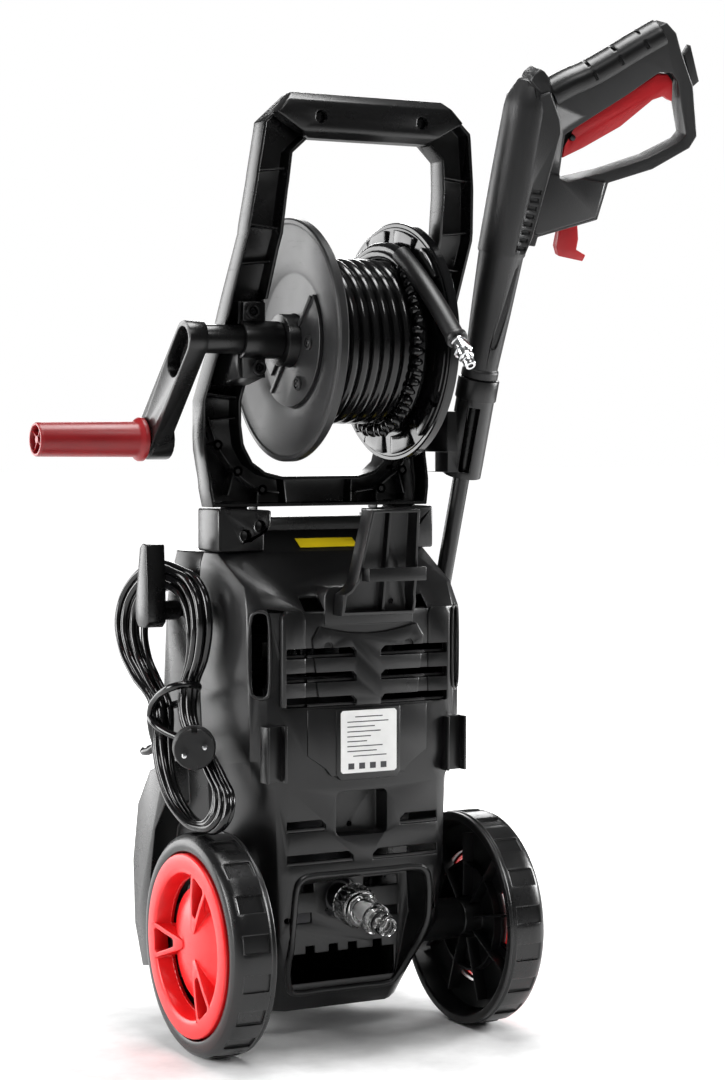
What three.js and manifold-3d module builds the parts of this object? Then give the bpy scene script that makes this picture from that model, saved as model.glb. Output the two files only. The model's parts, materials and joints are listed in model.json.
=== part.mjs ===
// An upright electric pressure washer with a hose reel in its handle frame,
// a spray gun in a holster and its power cord hung up in a hank.
//
// Millimetres, +Z up. Seen from behind (looking along +Y), +X is to the right.
// The machine is modelled about the point on the floor under the wheel axle, and the
// whole group is then moved so that the origin is the middle of the front foot's sole.
import * as THREE from 'three';
import { mergeVertices } from 'three/addons/utils/BufferGeometryUtils.js';
import Module from 'manifold-3d';

const wasm = await Module();
wasm.setup();

// ---------------------------------------------------------------- driving dimensions
const GAP = 0.3;                 // clearance between neighbouring solids
const WALL = 3;                  // moulded wall thickness

const WHEEL_R = 100;
const WHEEL_INNER_X = 118;
const WHEEL_OUTER_X = 158;
const COVER_R = 82;              // red wheel cover
const COVER_FACE_X = 161;
const AXLE_R = 6;

const FOOT_Y = 148;              // front foot, ahead of the axle
const FOOT_HEIGHT = 38;

const SPLIT_Y = 62;              // seam between the rear and the front cover
const SHELF_Z = 447;             // shoulder that carries the handle yoke

const REEL_Y = 3.5;
const REEL_Z = 638;
const FLANGE_R = 109;
const FLANGE_X = 60;             // outer face of each flange
const FLANGE_RIM = 9;
const CORE_R = 53;               // drum that the hose is wound on
const HOSE_D = 11;
const COIL_R = 76.5;             // outside of the wound hose
const JOURNAL_R = 13;

const CRANK_X = -150;            // middle of the crank arm
const CRANK_ARM = { y: 88, z: -89 };   // from the reel axis to the grip's pin
const GRIP_R = 16;
const GRIP_LENGTH = 104;

const HANDLE_TOP_Z = 852;
const HANDLE_FOOT_Z = 487.5;

const GUN_ORIGIN = [146.3, 5, 606.3];  // on the lance's axis, at the holster's mouth
const GUN_LEAN_BACK = 15.3;      // degrees
const GUN_LEAN_OUT = 2.3;
const GUN_TURN = 15;             // the grip's turn about the lance's axis
const LANCE_R = 8;
const LANCE_LENGTH = 300;

const INLET_Z = 129;
const INLET_DROOP = 9;           // degrees
const HOOK_X = -150;             // middle of the cord hook's paddle
const HOOK_Y = 94;
const HOOK_Z = 392;
const CORD_R = 3.5;

// ---------------------------------------------------------------- materials
const paint = (color, roughness, metalness = 0, extra = {}) =>
  new THREE.MeshStandardMaterial({ color, roughness, metalness, ...extra });
const black = paint(0x1b1b1c, 0.5);
const satin = paint(0x2a2a2c, 0.4);
const gloss = paint(0x101011, 0.25);
const red = paint(0xd81f22, 0.4);
const darkRed = paint(0xa32226, 0.45);
const rubber = paint(0x0c0c0d, 0.75);
const steel = paint(0xc4c6c8, 0.25, 1);
const castAlloy = paint(0x9a9c9e, 0.5, 0.9);
const copper = paint(0x8d5a36, 0.4, 0.9);
const clear = paint(0xe8eef0, 0.08, 0, { transparent: true, opacity: 0.35 });
const paper = paint(0xf4f4f2, 0.6);
const yellow = paint(0xf2d21b, 0.5);

// ---------------------------------------------------------------- solids
const deg = Math.PI / 180;
const range = (n) => Array.from({ length: n }, (_, i) => i);

// A closed three.js geometry as a manifold solid with its faces pointing out.
function solid(geometry) {
  const bare = geometry.clone();
  for (const name of ['normal', 'uv']) bare.deleteAttribute(name);
  const merged = mergeVertices(bare, 1e-4);
  const at = merged.attributes.position;
  const index = merged.index.array;
  const corner = range(3).map(() => new THREE.Vector3());
  const kept = [];
  let volume = 0;
  for (let i = 0; i < index.length; i += 3) {
    const [a, b, c] = [index[i], index[i + 1], index[i + 2]];
    if (a === b || b === c || c === a) continue;
    [a, b, c].forEach((n, k) => corner[k].fromBufferAttribute(at, n));
    volume += corner[0].dot(corner[1].clone().cross(corner[2]));
    kept.push(a, b, c);
  }
  if (volume < 0) kept.reverse();
  return new wasm.Manifold(new wasm.Mesh({
    numProp: 3,
    vertProperties: new Float32Array(at.array),
    triVerts: new Uint32Array(kept),
  }));
}

// Booleans can leave slivers behind, so near-equal vertices are merged and only the piece itself is kept.
function geometryOf(body) {
  const whole = body.setTolerance(0.05).simplify(0.05);
  const piece = whole.decompose().reduce((most, part) => (part.volume() > most.volume() ? part : most));
  if (whole.volume() - piece.volume() > 1) throw new Error('a piece has come apart');
  const { vertProperties, triVerts } = piece.getMesh();
  const geometry = new THREE.BufferGeometry();
  geometry.setAttribute('position', new THREE.BufferAttribute(vertProperties, 3));
  geometry.setIndex(new THREE.BufferAttribute(triVerts, 1));
  geometry.computeVertexNormals();
  return geometry;
}

const join = (...parts) => parts.reduce((sum, part) => sum.add(part));
const cut = (body, ...tools) => tools.reduce((rest, tool) => rest.subtract(tool), body);

function box(x, y, z) {
  const shape = new THREE.BoxGeometry(x[1] - x[0], y[1] - y[0], z[1] - z[0]);
  shape.translate((x[0] + x[1]) / 2, (y[0] + y[1]) / 2, (z[0] + z[1]) / 2);
  return solid(shape);
}

const outline = (points) => new THREE.Shape(points.map(([a, b]) => new THREE.Vector2(a, b)));

// Prisms of an outline: along X (outline in Y, Z), along Y (X, Z) and along Z (X, Y).
function prism(points, axis, from, to) {
  const shape = points instanceof THREE.Shape ? points : outline(points);
  const depth = Math.abs(to - from);
  const body = new THREE.ExtrudeGeometry(shape, { depth, bevelEnabled: false, curveSegments: 5 });
  body.translate(0, 0, Math.min(from, to));
  const turn = {
    x: [[0, 1, 0], [0, 0, 1], [1, 0, 0]],
    y: [[1, 0, 0], [0, 0, 1], [0, 1, 0]],
    z: [[1, 0, 0], [0, 1, 0], [0, 0, 1]],
  }[axis];
  const basis = new THREE.Matrix4().makeBasis(...turn.map((v) => new THREE.Vector3(...v)));
  body.applyMatrix4(basis);
  return solid(body);
}

// A straight round bar between two points.
function rod(from, to, radius, sides = 24, endRadius = radius) {
  const a = new THREE.Vector3(...from);
  const b = new THREE.Vector3(...to);
  const along = b.clone().sub(a);
  const bar = new THREE.CylinderGeometry(endRadius, radius, along.length(), sides);
  bar.applyQuaternion(new THREE.Quaternion().setFromUnitVectors(
    new THREE.Vector3(0, 1, 0), along.clone().normalize()));
  bar.translate(...a.clone().add(b).multiplyScalar(0.5).toArray());
  return solid(bar);
}

// A turned piece: [along, radius] pairs, spun about an axis through a centre point.
function turned(profile, centre, sides = 40, axis = 'x') {
  const points = profile.map(([along, radius]) => new THREE.Vector2(radius, along));
  const shape = new THREE.LatheGeometry(points, sides);
  if (axis === 'x') shape.rotateZ(-90 * deg);
  if (axis === 'z') shape.rotateX(90 * deg);
  shape.translate(...centre);
  return solid(shape);
}

// A round tube along a smooth curve through the points.
function tube(points, radius, sides = 10, steps = 60) {
  const path = new THREE.CatmullRomCurve3(points.map((p) => new THREE.Vector3(...p)), false, 'centripetal');
  const ring = range(sides).map((i) => [
    radius * Math.cos((i / sides) * 2 * Math.PI), radius * Math.sin((i / sides) * 2 * Math.PI)]);
  return solid(new THREE.ExtrudeGeometry(outline(ring), { steps, extrudePath: path }));
}

// A body lofted through horizontal rings of equal point count, lowest first.
function loft(rings) {
  const count = rings[0].points.length;
  const position = rings.flatMap(({ z, points }) => points.flatMap(([x, y]) => [x, y, z]));
  const index = [];
  for (let r = 0; r < rings.length - 1; r += 1) {
    for (let i = 0; i < count; i += 1) {
      const a = r * count + i;
      const b = r * count + ((i + 1) % count);
      index.push(a, b, a + count, b, b + count, a + count);
    }
  }
  const faces = THREE.ShapeUtils.triangulateShape(rings[0].points.map(([x, y]) => new THREE.Vector2(x, y)), []);
  const top = (rings.length - 1) * count;
  for (const [a, b, c] of faces) {
    index.push(a, c, b);
    index.push(top + a, top + b, top + c);
  }
  const geometry = new THREE.BufferGeometry();
  geometry.setAttribute('position', new THREE.BufferAttribute(new Float32Array(position), 3));
  geometry.setIndex(index);
  return solid(geometry);
}

const mirrored = (points) => [...points, ...points.map(([x, y]) => [-x, y]).reverse()];
const sideways = (points, side) => points.map(([x, z]) => [side * x, z]);

function roundedRect(x0, x1, z0, z1, r) {
  const s = new THREE.Shape();
  s.moveTo(x0 + r, z0);
  s.lineTo(x1 - r, z0);
  s.absarc(x1 - r, z0 + r, r, -90 * deg, 0, false);
  s.lineTo(x1, z1 - r);
  s.absarc(x1 - r, z1 - r, r, 0, 90 * deg, false);
  s.lineTo(x0 + r, z1);
  s.absarc(x0 + r, z1 - r, r, 90 * deg, 180 * deg, false);
  s.lineTo(x0, z0 + r);
  s.absarc(x0 + r, z0 + r, r, 180 * deg, 270 * deg, false);
  return s;
}

// Two circles of different radius and the straight sides between them.
function link(a, b, ra, rb, steps = 10) {
  const turn = Math.atan2(b[1] - a[1], b[0] - a[0]);
  const lean = Math.acos((ra - rb) / Math.hypot(b[0] - a[0], b[1] - a[1]));
  const arc = (c, r, from, to) => range(steps + 1).map((i) => {
    const t = from + ((to - from) * i) / steps;
    return [c[0] + r * Math.cos(t), c[1] + r * Math.sin(t)];
  });
  return [...arc(a, ra, turn + lean, turn - lean + 2 * Math.PI), ...arc(b, rb, turn - lean, turn + lean)];
}

// ---------------------------------------------------------------- scene graph
const machine = new THREE.Group();

function add(name, body, material, parent = machine) {
  const mesh = new THREE.Mesh(geometryOf(body), material);
  mesh.name = name;
  parent.add(mesh);
  return mesh;
}

// ---------------------------------------------------------------- body shells
// One ring of the body at a height: rear face edge, rear bevel, side corners and front face
// edge, each as [x, y] on the right-hand side.
const BODY = [
  { z: 26, half: [[52, 17], [60, 23], [72, 36], [96, 120], [72, 150]] },
  { z: 60, half: [[60, -4], [70, 3], [83, 20], [106, 138], [78, 174]] },
  { z: 105, half: [[70, -33], [81, -28], [92, -10], [113, 148], [84, 184]] },
  { z: 160, half: [[74, -37], [85, -32], [96, -12], [115, 150], [88, 190]] },
  { z: 238, half: [[75, -37], [87, -32], [100, -12], [118, 146], [88, 190]] },
  { z: 264, half: [[62, -44], [95, -35], [107, -22], [120, 140], [88, 187]] },
  { z: 396, half: [[62, -44], [95, -34], [109, -20], [124, 118], [84, 170]] },
  { z: 418, half: [[70, -22], [97, -20], [106, -10], [124, 112], [82, 162]] },
  { z: 446, half: [[66, 32], [88, 34], [108, 42], [121, 102], [80, 148]] },
  { z: 466, half: [[58, 63], [64, 65], [72, 68], [90, 96], [70, 128]] },
];

function inset(points, by) {
  const n = points.length;
  return points.map((p, i) => {
    const before = points[(i + n - 1) % n];
    const after = points[(i + 1) % n];
    const e1 = new THREE.Vector2(p[0] - before[0], p[1] - before[1]).normalize();
    const e2 = new THREE.Vector2(after[0] - p[0], after[1] - p[1]).normalize();
    const n1 = new THREE.Vector2(-e1.y, e1.x);
    const n2 = new THREE.Vector2(-e2.y, e2.x);
    const bisector = n1.clone().add(n2).normalize();
    const reach = by / Math.max(0.35, bisector.dot(n1));
    return [p[0] + bisector.x * reach, p[1] + bisector.y * reach];
  });
}

const bodyRings = (by) => BODY.map(({ z, half }, i) => {
  const ring = mirrored(half);
  const lift = i === 0 ? by : i === BODY.length - 1 ? -by : 0;
  return { z: z + lift, points: by ? inset(ring, by) : ring };
});

const FAR = 400;
const shelfCut = join(
  box([64.7, FAR], [-FAR, FAR], [SHELF_Z - GAP, 600]),
  box([-FAR, -64.7], [-FAR, FAR], [SHELF_Z - GAP, 600]),
  box([-FAR, FAR], [SPLIT_Y - 0.8, FAR], [SHELF_Z + 5, 600]));
const shelfCutInner = join(
  box([64.7 - WALL, FAR], [-FAR, FAR], [SHELF_Z - GAP - WALL, 600]),
  box([-FAR, -64.7 + WALL], [-FAR, FAR], [SHELF_Z - GAP - WALL, 600]),
  box([-FAR, FAR], [SPLIT_Y - 0.8 - WALL, FAR], [SHELF_Z + 5 - WALL, 600]));
const bodyOuter = cut(loft(bodyRings(0)), shelfCut);
const bodyInner = cut(loft(bodyRings(WALL)), shelfCutInner);
const shell = cut(bodyOuter, bodyInner);
const behindSeam = box([-FAR, FAR], [-FAR, SPLIT_Y], [-10, 700]);
const aheadOfSeam = box([-FAR, FAR], [SPLIT_Y + GAP, FAR], [-10, 700]);

// A cooling slot's outline: a bar with its inner upper corner cut off.
const slotOutline = (inner, outer, z, height) => [
  [inner, z - height / 2], [outer, z - height / 2], [outer, z + height / 2],
  [inner + height * 0.55, z + height / 2], [inner, z + height * 0.05]];

function slotPair(inner, outer, z, height, y = [-80, -20]) {
  return join(...[-1, 1].map((side) => prism(sideways(slotOutline(inner, outer, z, height), side), 'y', ...y)));
}

const RECESS = mirrored([[54, 46], [69, 110], [67, 148], [61, 156]]);
const recessSpace = prism(RECESS, 'y', -90, 3);
const tubOutline = mirrored([[57, 42], [72.5, 109], [70.5, 150], [63, 159.5]]);
const panelSlot = (x0, x1, z) => box([x0, x1], [-5, 12], [z - 4.5, z + 4.5]);

function rearCover() {
  let body = shell.intersect(behindSeam);
  // the hollow between the two columns, above the panel with the slots
  body = cut(body, box([-62.5, 62.5], [-60, -30], [396, 440]));
  body = join(body, box([-62.4, 62.4], [-43.9, -40.9], [372, 395.9]));
  // pedestal of the accessory holder
  const pedestal = prism([[-44, 384], [46, 384], [46, 410], [34, 430], [-34, 430], [-44, 410]], 'y', -45.8, 10);
  body = join(body, cut(pedestal.intersect(join(bodyOuter, box([-44, 46], [-46, -20], [384, 418]))), bodyInner));
  // cooling slots
  for (const z of [359.5, 337.8, 316]) body = cut(body, slotPair(12.4, 82, z, 9));
  body = cut(body, slotPair(38, 77, 204, 10), slotPair(10, 77, 174, 9.5));
  // hand pocket under the label, with its back wall
  const pocketOut = box([-31, 27], [-38, -14], [190, 236]).intersect(bodyOuter);
  const pocketIn = prism(roundedRect(-28, 24, 193, 233, 5), 'y', -60, -17);
  body = join(cut(body, pocketIn), cut(pocketOut, pocketIn));
  // deep recess with the inlet's panel
  body = cut(body, recessSpace);
  const tub = cut(prism(tubOutline, 'y', -60, 7).intersect(bodyOuter), recessSpace, box([-54, 54], [-20, 12], [40, 80]));
  body = join(body, tub);
  body = cut(body, panelSlot(-60, -30, 141), panelSlot(-60, -32, 113), panelSlot(22, 58, 141), panelSlot(26, 58, 113),
    rod([0, -10, INLET_Z], [0, 20, INLET_Z], 17.5, 20));
  // bosses around the stub axles
  for (const side of [-1, 1]) {
    const boss = rod([side * 70, 0, WHEEL_R], [side * (WHEEL_INNER_X - 0.6), 0, WHEEL_R], 19, 20);
    body = join(body, cut(boss, recessSpace, prism(tubOutline, 'y', -60, 7)));
    body = cut(body, rod([side * 73.4, 0, WHEEL_R], [side * 130, 0, WHEEL_R], AXLE_R + GAP, 14));
  }
  return body;
}

function frontCover() {
  let body = shell.intersect(aheadOfSeam);
  // fenders ahead of the wheels
  for (const side of [-1, 1]) {
    const x = [Math.min(side * 104, side * 136), Math.max(side * 104, side * 136)];
    const profile = [[112, 60], [150, 52], [168, 90], [172, 150], [160, 205], [132, 240], [96, 252],
      [96, 214], [120, 186], [131, 140], [124, 96]];
    const fender = prism(profile, 'x', ...x);
    body = join(body, cut(fender, bodyInner));
  }
  // opening for the foot, the switch's shaft and the inlet grille
  body = cut(body, rod([0, 120, 330], [0, 220, 330], 7 + GAP, 18));
  for (const z of [120, 134, 148, 162]) body = cut(body, box([-50, 50], [150, 220], [z - 3, z + 3]));
  // cord gland and hook holes in the left side, hose hole in the right shoulder
  body = cut(body, rod([-140, 126, 262], [-90, 126, 262], 8 + GAP, 20));
  body = cut(body, rod([-140, HOOK_Y, HOOK_Z], [-90, HOOK_Y, HOOK_Z], 6 + GAP, 20));
  return body;
}

add('rear_cover', cut(rearCover(), rod([98, 54, 430], [98, 54, 460], 9, 12)), black);
add('front_cover', cut(frontCover(), rod([98, 54, 430], [98, 54, 460], 9, 12)), satin);
add('rating_label', prism([[-28.5, 250.6], [28.5, 250.6], [28.5, 306.8], [-28.5, 306.8]], 'y', -45.9, -45.5), paper);

// The sloping deck behind the arch carries a small sign, laid just above it.
const deckSlope = Math.atan2(20, 31);
const sign = solid(new THREE.BoxGeometry(60, 14, 0.4).rotateX(deckSlope).translate(4, 42.5, 453.5));
add('warning_label', cut(sign, bodyOuter), yellow);

// ---------------------------------------------------------------- front foot
function frontFoot() {
  const profile = [[FOOT_Y - 16, 0], [FOOT_Y + 16, 0], [FOOT_Y + 12, FOOT_HEIGHT], [FOOT_Y - 20, FOOT_HEIGHT]];
  const bar = prism(profile, 'x', -78, 78);
  const groove = box([-62, 62], [FOOT_Y - 40, FOOT_Y + 40], [-1, 5]);
  const middle = box([-24, 24], [FOOT_Y - 16, FOOT_Y + 16], [0, 8]);
  return join(cut(bar, groove, bodyOuter.translate(0, 0, -GAP)), middle);
}
add('front_foot', frontFoot(), rubber);

// ---------------------------------------------------------------- handle yoke and frame
const screwHoles = [[-84, 461.5], [-69.5, 470]];

function handleYoke() {
  const pillar = (side) => prism(sideways([[65.2, SHELF_Z + 0.2], [112, SHELF_Z + 0.2], [112, 486.5], [58, 484.5], [58, 470],
    [65.2, 464]], side), 'y', 31, 76);
  let body = join(pillar(-1), pillar(1), box([-70, 70], [SPLIT_Y + 0.3, 75], [SHELF_Z + 7, 477.5]));
  for (const side of [-1, 1]) {
    for (const [x, z] of screwHoles) body = cut(body, rod([side * x, 20, z], [side * x, 39, z], 5.2, 20));
    // socket of the handle frame's tenon
    body = cut(body, box([Math.min(side * 76, side * 94), Math.max(side * 76, side * 94)], [44, 66], [473, 490]));
  }
  return cut(body, bodyOuter.translate(0, 0, GAP), rod([98, 54, 430], [98, 54, 500], 9, 12));
}
add('handle_yoke', handleYoke(), satin);

// The frame's outline seen from behind, and its rear and front edges seen from the side.
const FRAME_OUTER = [[112, HANDLE_FOOT_Z], [114.7, 504], [116.6, 552], [117, 655], [114.5, 738], [110, 783],
  [104.5, 826], [76, HANDLE_TOP_Z]];
const FRAME_INNER = [[40, 515], [56, 519], [68, 528], [75.5, 545], [78, 562], [79, 660], [80, 718], [78, 768],
  [75.4, 800], [60, 814]];
const FRAME_REAR = [[43, HANDLE_FOOT_Z], [45, 512], [53, 540], [52, 584], [28, 620], [8, 646], [-6, 676], [-35, 730],
  [-43.5, 775], [-48, 820], [-48, HANDLE_TOP_Z]];
const FRAME_FRONT = [[-27, HANDLE_TOP_Z], [-27, 820], [-22.5, 775], [-14, 730], [16, 676], [31, 646], [52, 620], [76, 584],
  [77, 540], [69, 512], [67, HANDLE_FOOT_Z]];
const SLEEVE_R = 17;             // bearing sleeve around each of the reel's journals
const SLEEVE_X = [66, 104];
const acrossLeg = (side, from, to) => [Math.min(side * from, side * to), Math.max(side * from, side * to)];
const journalBore = (side) => rod([side * 60, REEL_Y, REEL_Z], [side * 140, REEL_Y, REEL_Z], JOURNAL_R + GAP, 20);
function handleFrame() {
  const profile = prism([...FRAME_REAR, ...FRAME_FRONT], 'x', -160, 160);
  const hollowProfile = prism([...FRAME_REAR.map(([y, z]) => [y - 30, z]), ...FRAME_FRONT.map(([y, z]) => [y - 3.5, z])],
    'x', -160, 160);
  const full = cut(prism(mirrored(FRAME_OUTER), 'y', -90, 120),
    prism(mirrored(FRAME_INNER), 'y', -91, 121));
  const pocketRing = cut(prism(inset(mirrored(FRAME_OUTER), WALL), 'y', -90, 120),
    prism(inset(mirrored(FRAME_INNER), -WALL), 'y', -91, 121));
  const channel = pocketRing.intersect(hollowProfile);
  let body = cut(full.intersect(profile), channel);
  // thin cross ribs in the legs, set back from the rear edge
  const ribLeg = (side) => join(...[562, 592, 700, 740, 780].map((z, i) => {
    const dip = i % 2 ? 8 : -8;
    return prism(sideways([[60, z - dip], [140, z], [140, z + 1.8], [60, z + 1.8 - dip]], side), 'y', -90, 120);
  }));
  const ribFoot = (side) => prism(sideways([[32, 480], [33.8, 480], [37.8, 530], [36, 530]], side), 'y', -90, 120);
  const ribSpace = full.intersect(profile).intersect(prism([...FRAME_REAR.map(([y, z]) => [y + 7, z]), ...FRAME_FRONT], 'x', -160, 160));
  body = join(body, join(ribLeg(-1), ribLeg(1), ribFoot(-1), ribFoot(1)).intersect(ribSpace));
  // blocks that hold the reel's journals, open to the rear
  for (const side of [-1, 1]) {
    body = cut(body, box(acrossLeg(side, 70, 106), [-60, REEL_Y], [602, 674]));
    const block = box(acrossLeg(side, 80, 105), [REEL_Y + GAP, 70], [598, 672])
      .intersect(prism([[REEL_Y, 604], [34, 598], ...[...FRAME_FRONT].reverse().filter(([, z]) => z > 580 && z < 700), [REEL_Y, 690]],
        'x', -160, 160));
    const sleeve = rod([side * SLEEVE_X[0], REEL_Y, REEL_Z], [side * SLEEVE_X[1], REEL_Y, REEL_Z], SLEEVE_R, 20)
      .intersect(box([-FAR, FAR], [REEL_Y + GAP, FAR], [0, 900]));
    body = cut(join(body, block, sleeve), journalBore(side));
  }
  // tenons into the yoke and the feed hose's way down the right leg
  for (const side of [-1, 1]) body = join(body, box(acrossLeg(side, 76.3, 93.7), [44.3, 65.7], [474, 492]));
  body = cut(body, tube(feedRoute.slice(0, 7), 8.5, 10, 16), rod([98, 54, 470], [98, 54, 500], 9, 12));
  // the grip cover's place on the top bar
  return cut(body, gripSpace);
}

const GRIP_OUTLINE = [[60, 813.4], [66, 817.6], [94, 834], [76.6, HANDLE_TOP_Z + 1.2]];
const gripSpace = prism(mirrored([[60.4, 812], [67, 816], [95.6, 833], [80, 862]]), 'y', -80, -36);
const MOTOR_Y = 84;
const feedRoute = [[110.5, 3.5, 627], [110.5, 12, 608], [107, 36, 590], [100, 58, 570], [98, 62, 540], [98, 56, 512], [98, 54, 488],
  [98, 54, 460],
  [97, 56, 432], [86, 58, 380], [66, 60, 300], [56, 70, 200], [50.4, MOTOR_Y, 146]];
add('handle_frame', handleFrame(), satin);

function gripCover() {
  const profile = prism([[-36.3, 813.4], [-36.3, 853.2], [-44, 853.2], [-52, 846], [-54, 832], [-52, 820], [-45, 813.4]],
    'x', -100, 100);
  let body = prism(mirrored(GRIP_OUTLINE), 'y', -60, -36.3).intersect(profile);
  for (const side of [-1, 1]) {
    body = cut(body, rod([side * 51, -60, 832], [side * 51, -45, 832], 5.4, 20),
      rod([side * 51, -60, 832], [side * 51, -30, 832], 2.3, 12));
  }
  return body;
}
add('grip_cover', gripCover(), satin);
for (const [side, word] of [[-1, 'left'], [1, 'right']]) {
  add(`grip_screw_${word}`, join(rod([side * 51, -48.5, 832], [side * 51, -45.3, 832], 4.6, 16),
    rod([side * 51, -46, 832], [side * 51, -36.6, 832], 1.9, 12)), steel);
}

// caps screwed over the reel's journals, each half of a bearing sleeve with two ears
for (const [side, word] of [[-1, 'left'], [1, 'right']]) {
  const plate = box(acrossLeg(side, 80.5, 102.5), [-1.5, REEL_Y - GAP], [604, 671]);
  const half = rod([side * SLEEVE_X[0], REEL_Y, REEL_Z], [side * SLEEVE_X[1], REEL_Y, REEL_Z], SLEEVE_R, 20)
    .intersect(box([-200, 200], [-60, REEL_Y - GAP], [500, 700]));
  let cap = join(plate, half);
  for (const [x, z] of [[88, 613], [94, 663]]) {
    cap = join(cap, rod([side * x, -6, z], [side * x, 0, z], 6.8, 16));
    cap = cut(cap, rod([side * x, -10, z], [side * x, -1, z], 4.2, 14));
  }
  add(`reel_cap_${word}`, cut(cap, journalBore(side)), satin);
}

// ---------------------------------------------------------------- accessory holder
function accessoryHolder() {
  const back = [[-36, 393], [38, 393], [38, 404], [36, 412], [33, 487], [-15, 487], [-25, 424], [-30, 416], [-36, 412]];
  const lean = (z) => -46.4 - (z - 393) * 0.16;
  const profile = prism([[lean(393), 393], [lean(487), 487], [lean(487) - 20, 487], [lean(424) - 20, 424],
    [lean(393) - 16, 393]], 'x', -60, 60);
  const space = prism([[lean(393) - 3, 396], [lean(487) - 3, 484.5], [lean(487) - 30, 484.5], [lean(393) - 40, 396]], 'x', -60, 60);
  const outer = prism(back, 'y', -120, 0).intersect(profile);
  let body = cut(outer, prism(inset(back, 2.6), 'y', -120, 0).intersect(space));
  body = join(body, prism([[7, 394], [9.5, 394], [9.5, 486], [7, 486]], 'y', -120, 0)
    .intersect(prism([[lean(393) - 1, 394], [lean(487) - 1, 486], [lean(487) - 11, 486], [lean(393) - 11, 394]], 'x', -60, 60)));
  const band = cut(box([-20, 38], [-84, -70], [424, 436]), box([-17, 35.5], [-81.5, -60], [420, 440]));
  body = join(body, band.intersect(box([-30, 60], [-90, -60], [400, 450])));
  return cut(body, rod([20, -80, 404], [20, -30, 404], 2.4, 12));
}
add('accessory_holder', accessoryHolder(), black);

// ---------------------------------------------------------------- wheels
function wheelBody(side) {
  const profile = [[118, 90], [118, WHEEL_R], [148, WHEEL_R], [WHEEL_OUTER_X, 92], [WHEEL_OUTER_X, 83.2],
    [151, 83.2], [142, 60], [142, 18], [150.5, 18], [150.5, AXLE_R + GAP], [118.6, AXLE_R + GAP], [118.6, 17],
    [137.5, 19], [137.5, 80]].map(([x, r]) => [side * x, r]);
  return turned([...profile, profile[0]], [0, 0, WHEEL_R], 32);
}

const SPOKE_ANGLES = [-5, 115, 235];
function wheelCover(side) {
  const x = (v) => side * v;
  const profile = [[154.6, 0], [154, 20], [149, 56], [157, 66], [COVER_FACE_X, 70], [COVER_FACE_X, 80],
    [159.5, COVER_R], [151.6, COVER_R], [151.6, 66], [145, 56], [151.2, 24], [151.2, 0]];
  let body = turned(profile.map(([a, r]) => [x(a), r]), [0, 0, WHEEL_R], 32);
  for (const at of SPOKE_ANGLES) {
    const between = [at + 17, at + 103];
    const window = range(7).map((i) => between[0] + ((between[1] - between[0]) * i) / 6);
    const ring = (r, list) => list.map((a) => [r * Math.cos(a * deg), WHEEL_R + r * Math.sin(a * deg)]);
    body = cut(body, prism([...ring(62, window), ...ring(53, [...window].reverse())], 'x', x(130), x(170)));
  }
  // raised triangular arms, wide at the rim
  const arm = prism([[0, 153], [0, 154.6], [76, 160.4], [76, 153]].map(([r, a]) => [x(a), r]), 'z', -16, 16)
    .intersect(prism([[x(140), -3], [x(170), -3], [x(170), 80], [x(140), 80]], 'z', -16, 16));
  const taper = prism([[-16, 76], [0, 4], [16, 76]].map(([w, r]) => [r, w]), 'x', x(140), x(170));
  for (const at of SPOKE_ANGLES) {
    const whole = arm.intersect(taper);
    body = join(body, whole.rotate([at - 90, 0, 0]).translate([0, 0, WHEEL_R]));
  }
  return body;
}

for (const [side, word] of [[-1, 'left'], [1, 'right']]) {
  add(`wheel_${word}`, wheelBody(side), rubber);
  add(`wheel_cover_${word}`, wheelCover(side), red);
  add(`axle_${word}`, rod([side * 74, 0, WHEEL_R], [side * 150, 0, WHEEL_R], AXLE_R, 20), steel);
}

// ---------------------------------------------------------------- hose reel
function flange(side) {
  const x = (v) => side * v;
  const dished = [[FLANGE_X, FLANGE_R], [FLANGE_X - FLANGE_RIM, FLANGE_R], [47.5, 66], [44.5, 58], [44.5, 24], [50.5, 24],
    [50.5, 60], [58.5, FLANGE_R - 4.5], [FLANGE_X, FLANGE_R - 4]].map(([a, r]) => [x(a), r]);
  return turned([...dished, dished[0]], [0, REEL_Y, REEL_Z], 36);
}

function leftFlange() {
  // a half plate across the recess carries the crank's square shaft
  const plate = cut(rod([-50.2, REEL_Y, REEL_Z], [-57, REEL_Y, REEL_Z], 59.6, 18),
    solid(new THREE.BoxGeometry(40, 70, 160).translate(-54, -35 - 4, 0).rotateX(24 * deg).translate(0, REEL_Y, REEL_Z)),
    rod([-40, REEL_Y, REEL_Z], [-70, REEL_Y, REEL_Z], 24, 20));
  return join(flange(-1), plate);
}

function reelDrum() {
  const profile = [[-44.2, 0], [-44.2, CORE_R - 0.6], [44.2, CORE_R - 0.6], [44.2, 0]];
  const hollow = [[-41, 16], [-41, 49], [41, 49], [41, 16]];
  const core = cut(turned(profile, [0, REEL_Y, REEL_Z], 36), turned([...hollow, hollow[0]], [0, REEL_Y, REEL_Z], 18));
  const breath = rod([-60, REEL_Y + 32, REEL_Z], [60, REEL_Y + 32, REEL_Z], 5, 12);
  const hubs = rod([-65, REEL_Y, REEL_Z], [65, REEL_Y, REEL_Z], 23.6, 18);
  const journals = rod([-93.5, REEL_Y, REEL_Z], [104, REEL_Y, REEL_Z], JOURNAL_R - 0.1, 18);
  const bore = rod([-100, REEL_Y, REEL_Z], [-50, REEL_Y, REEL_Z], 9 + GAP, 18);
  return cut(join(cut(core, breath), hubs, journals), bore, rod([80, REEL_Y, REEL_Z], [125, REEL_Y, REEL_Z], 6, 16));
}

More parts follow.
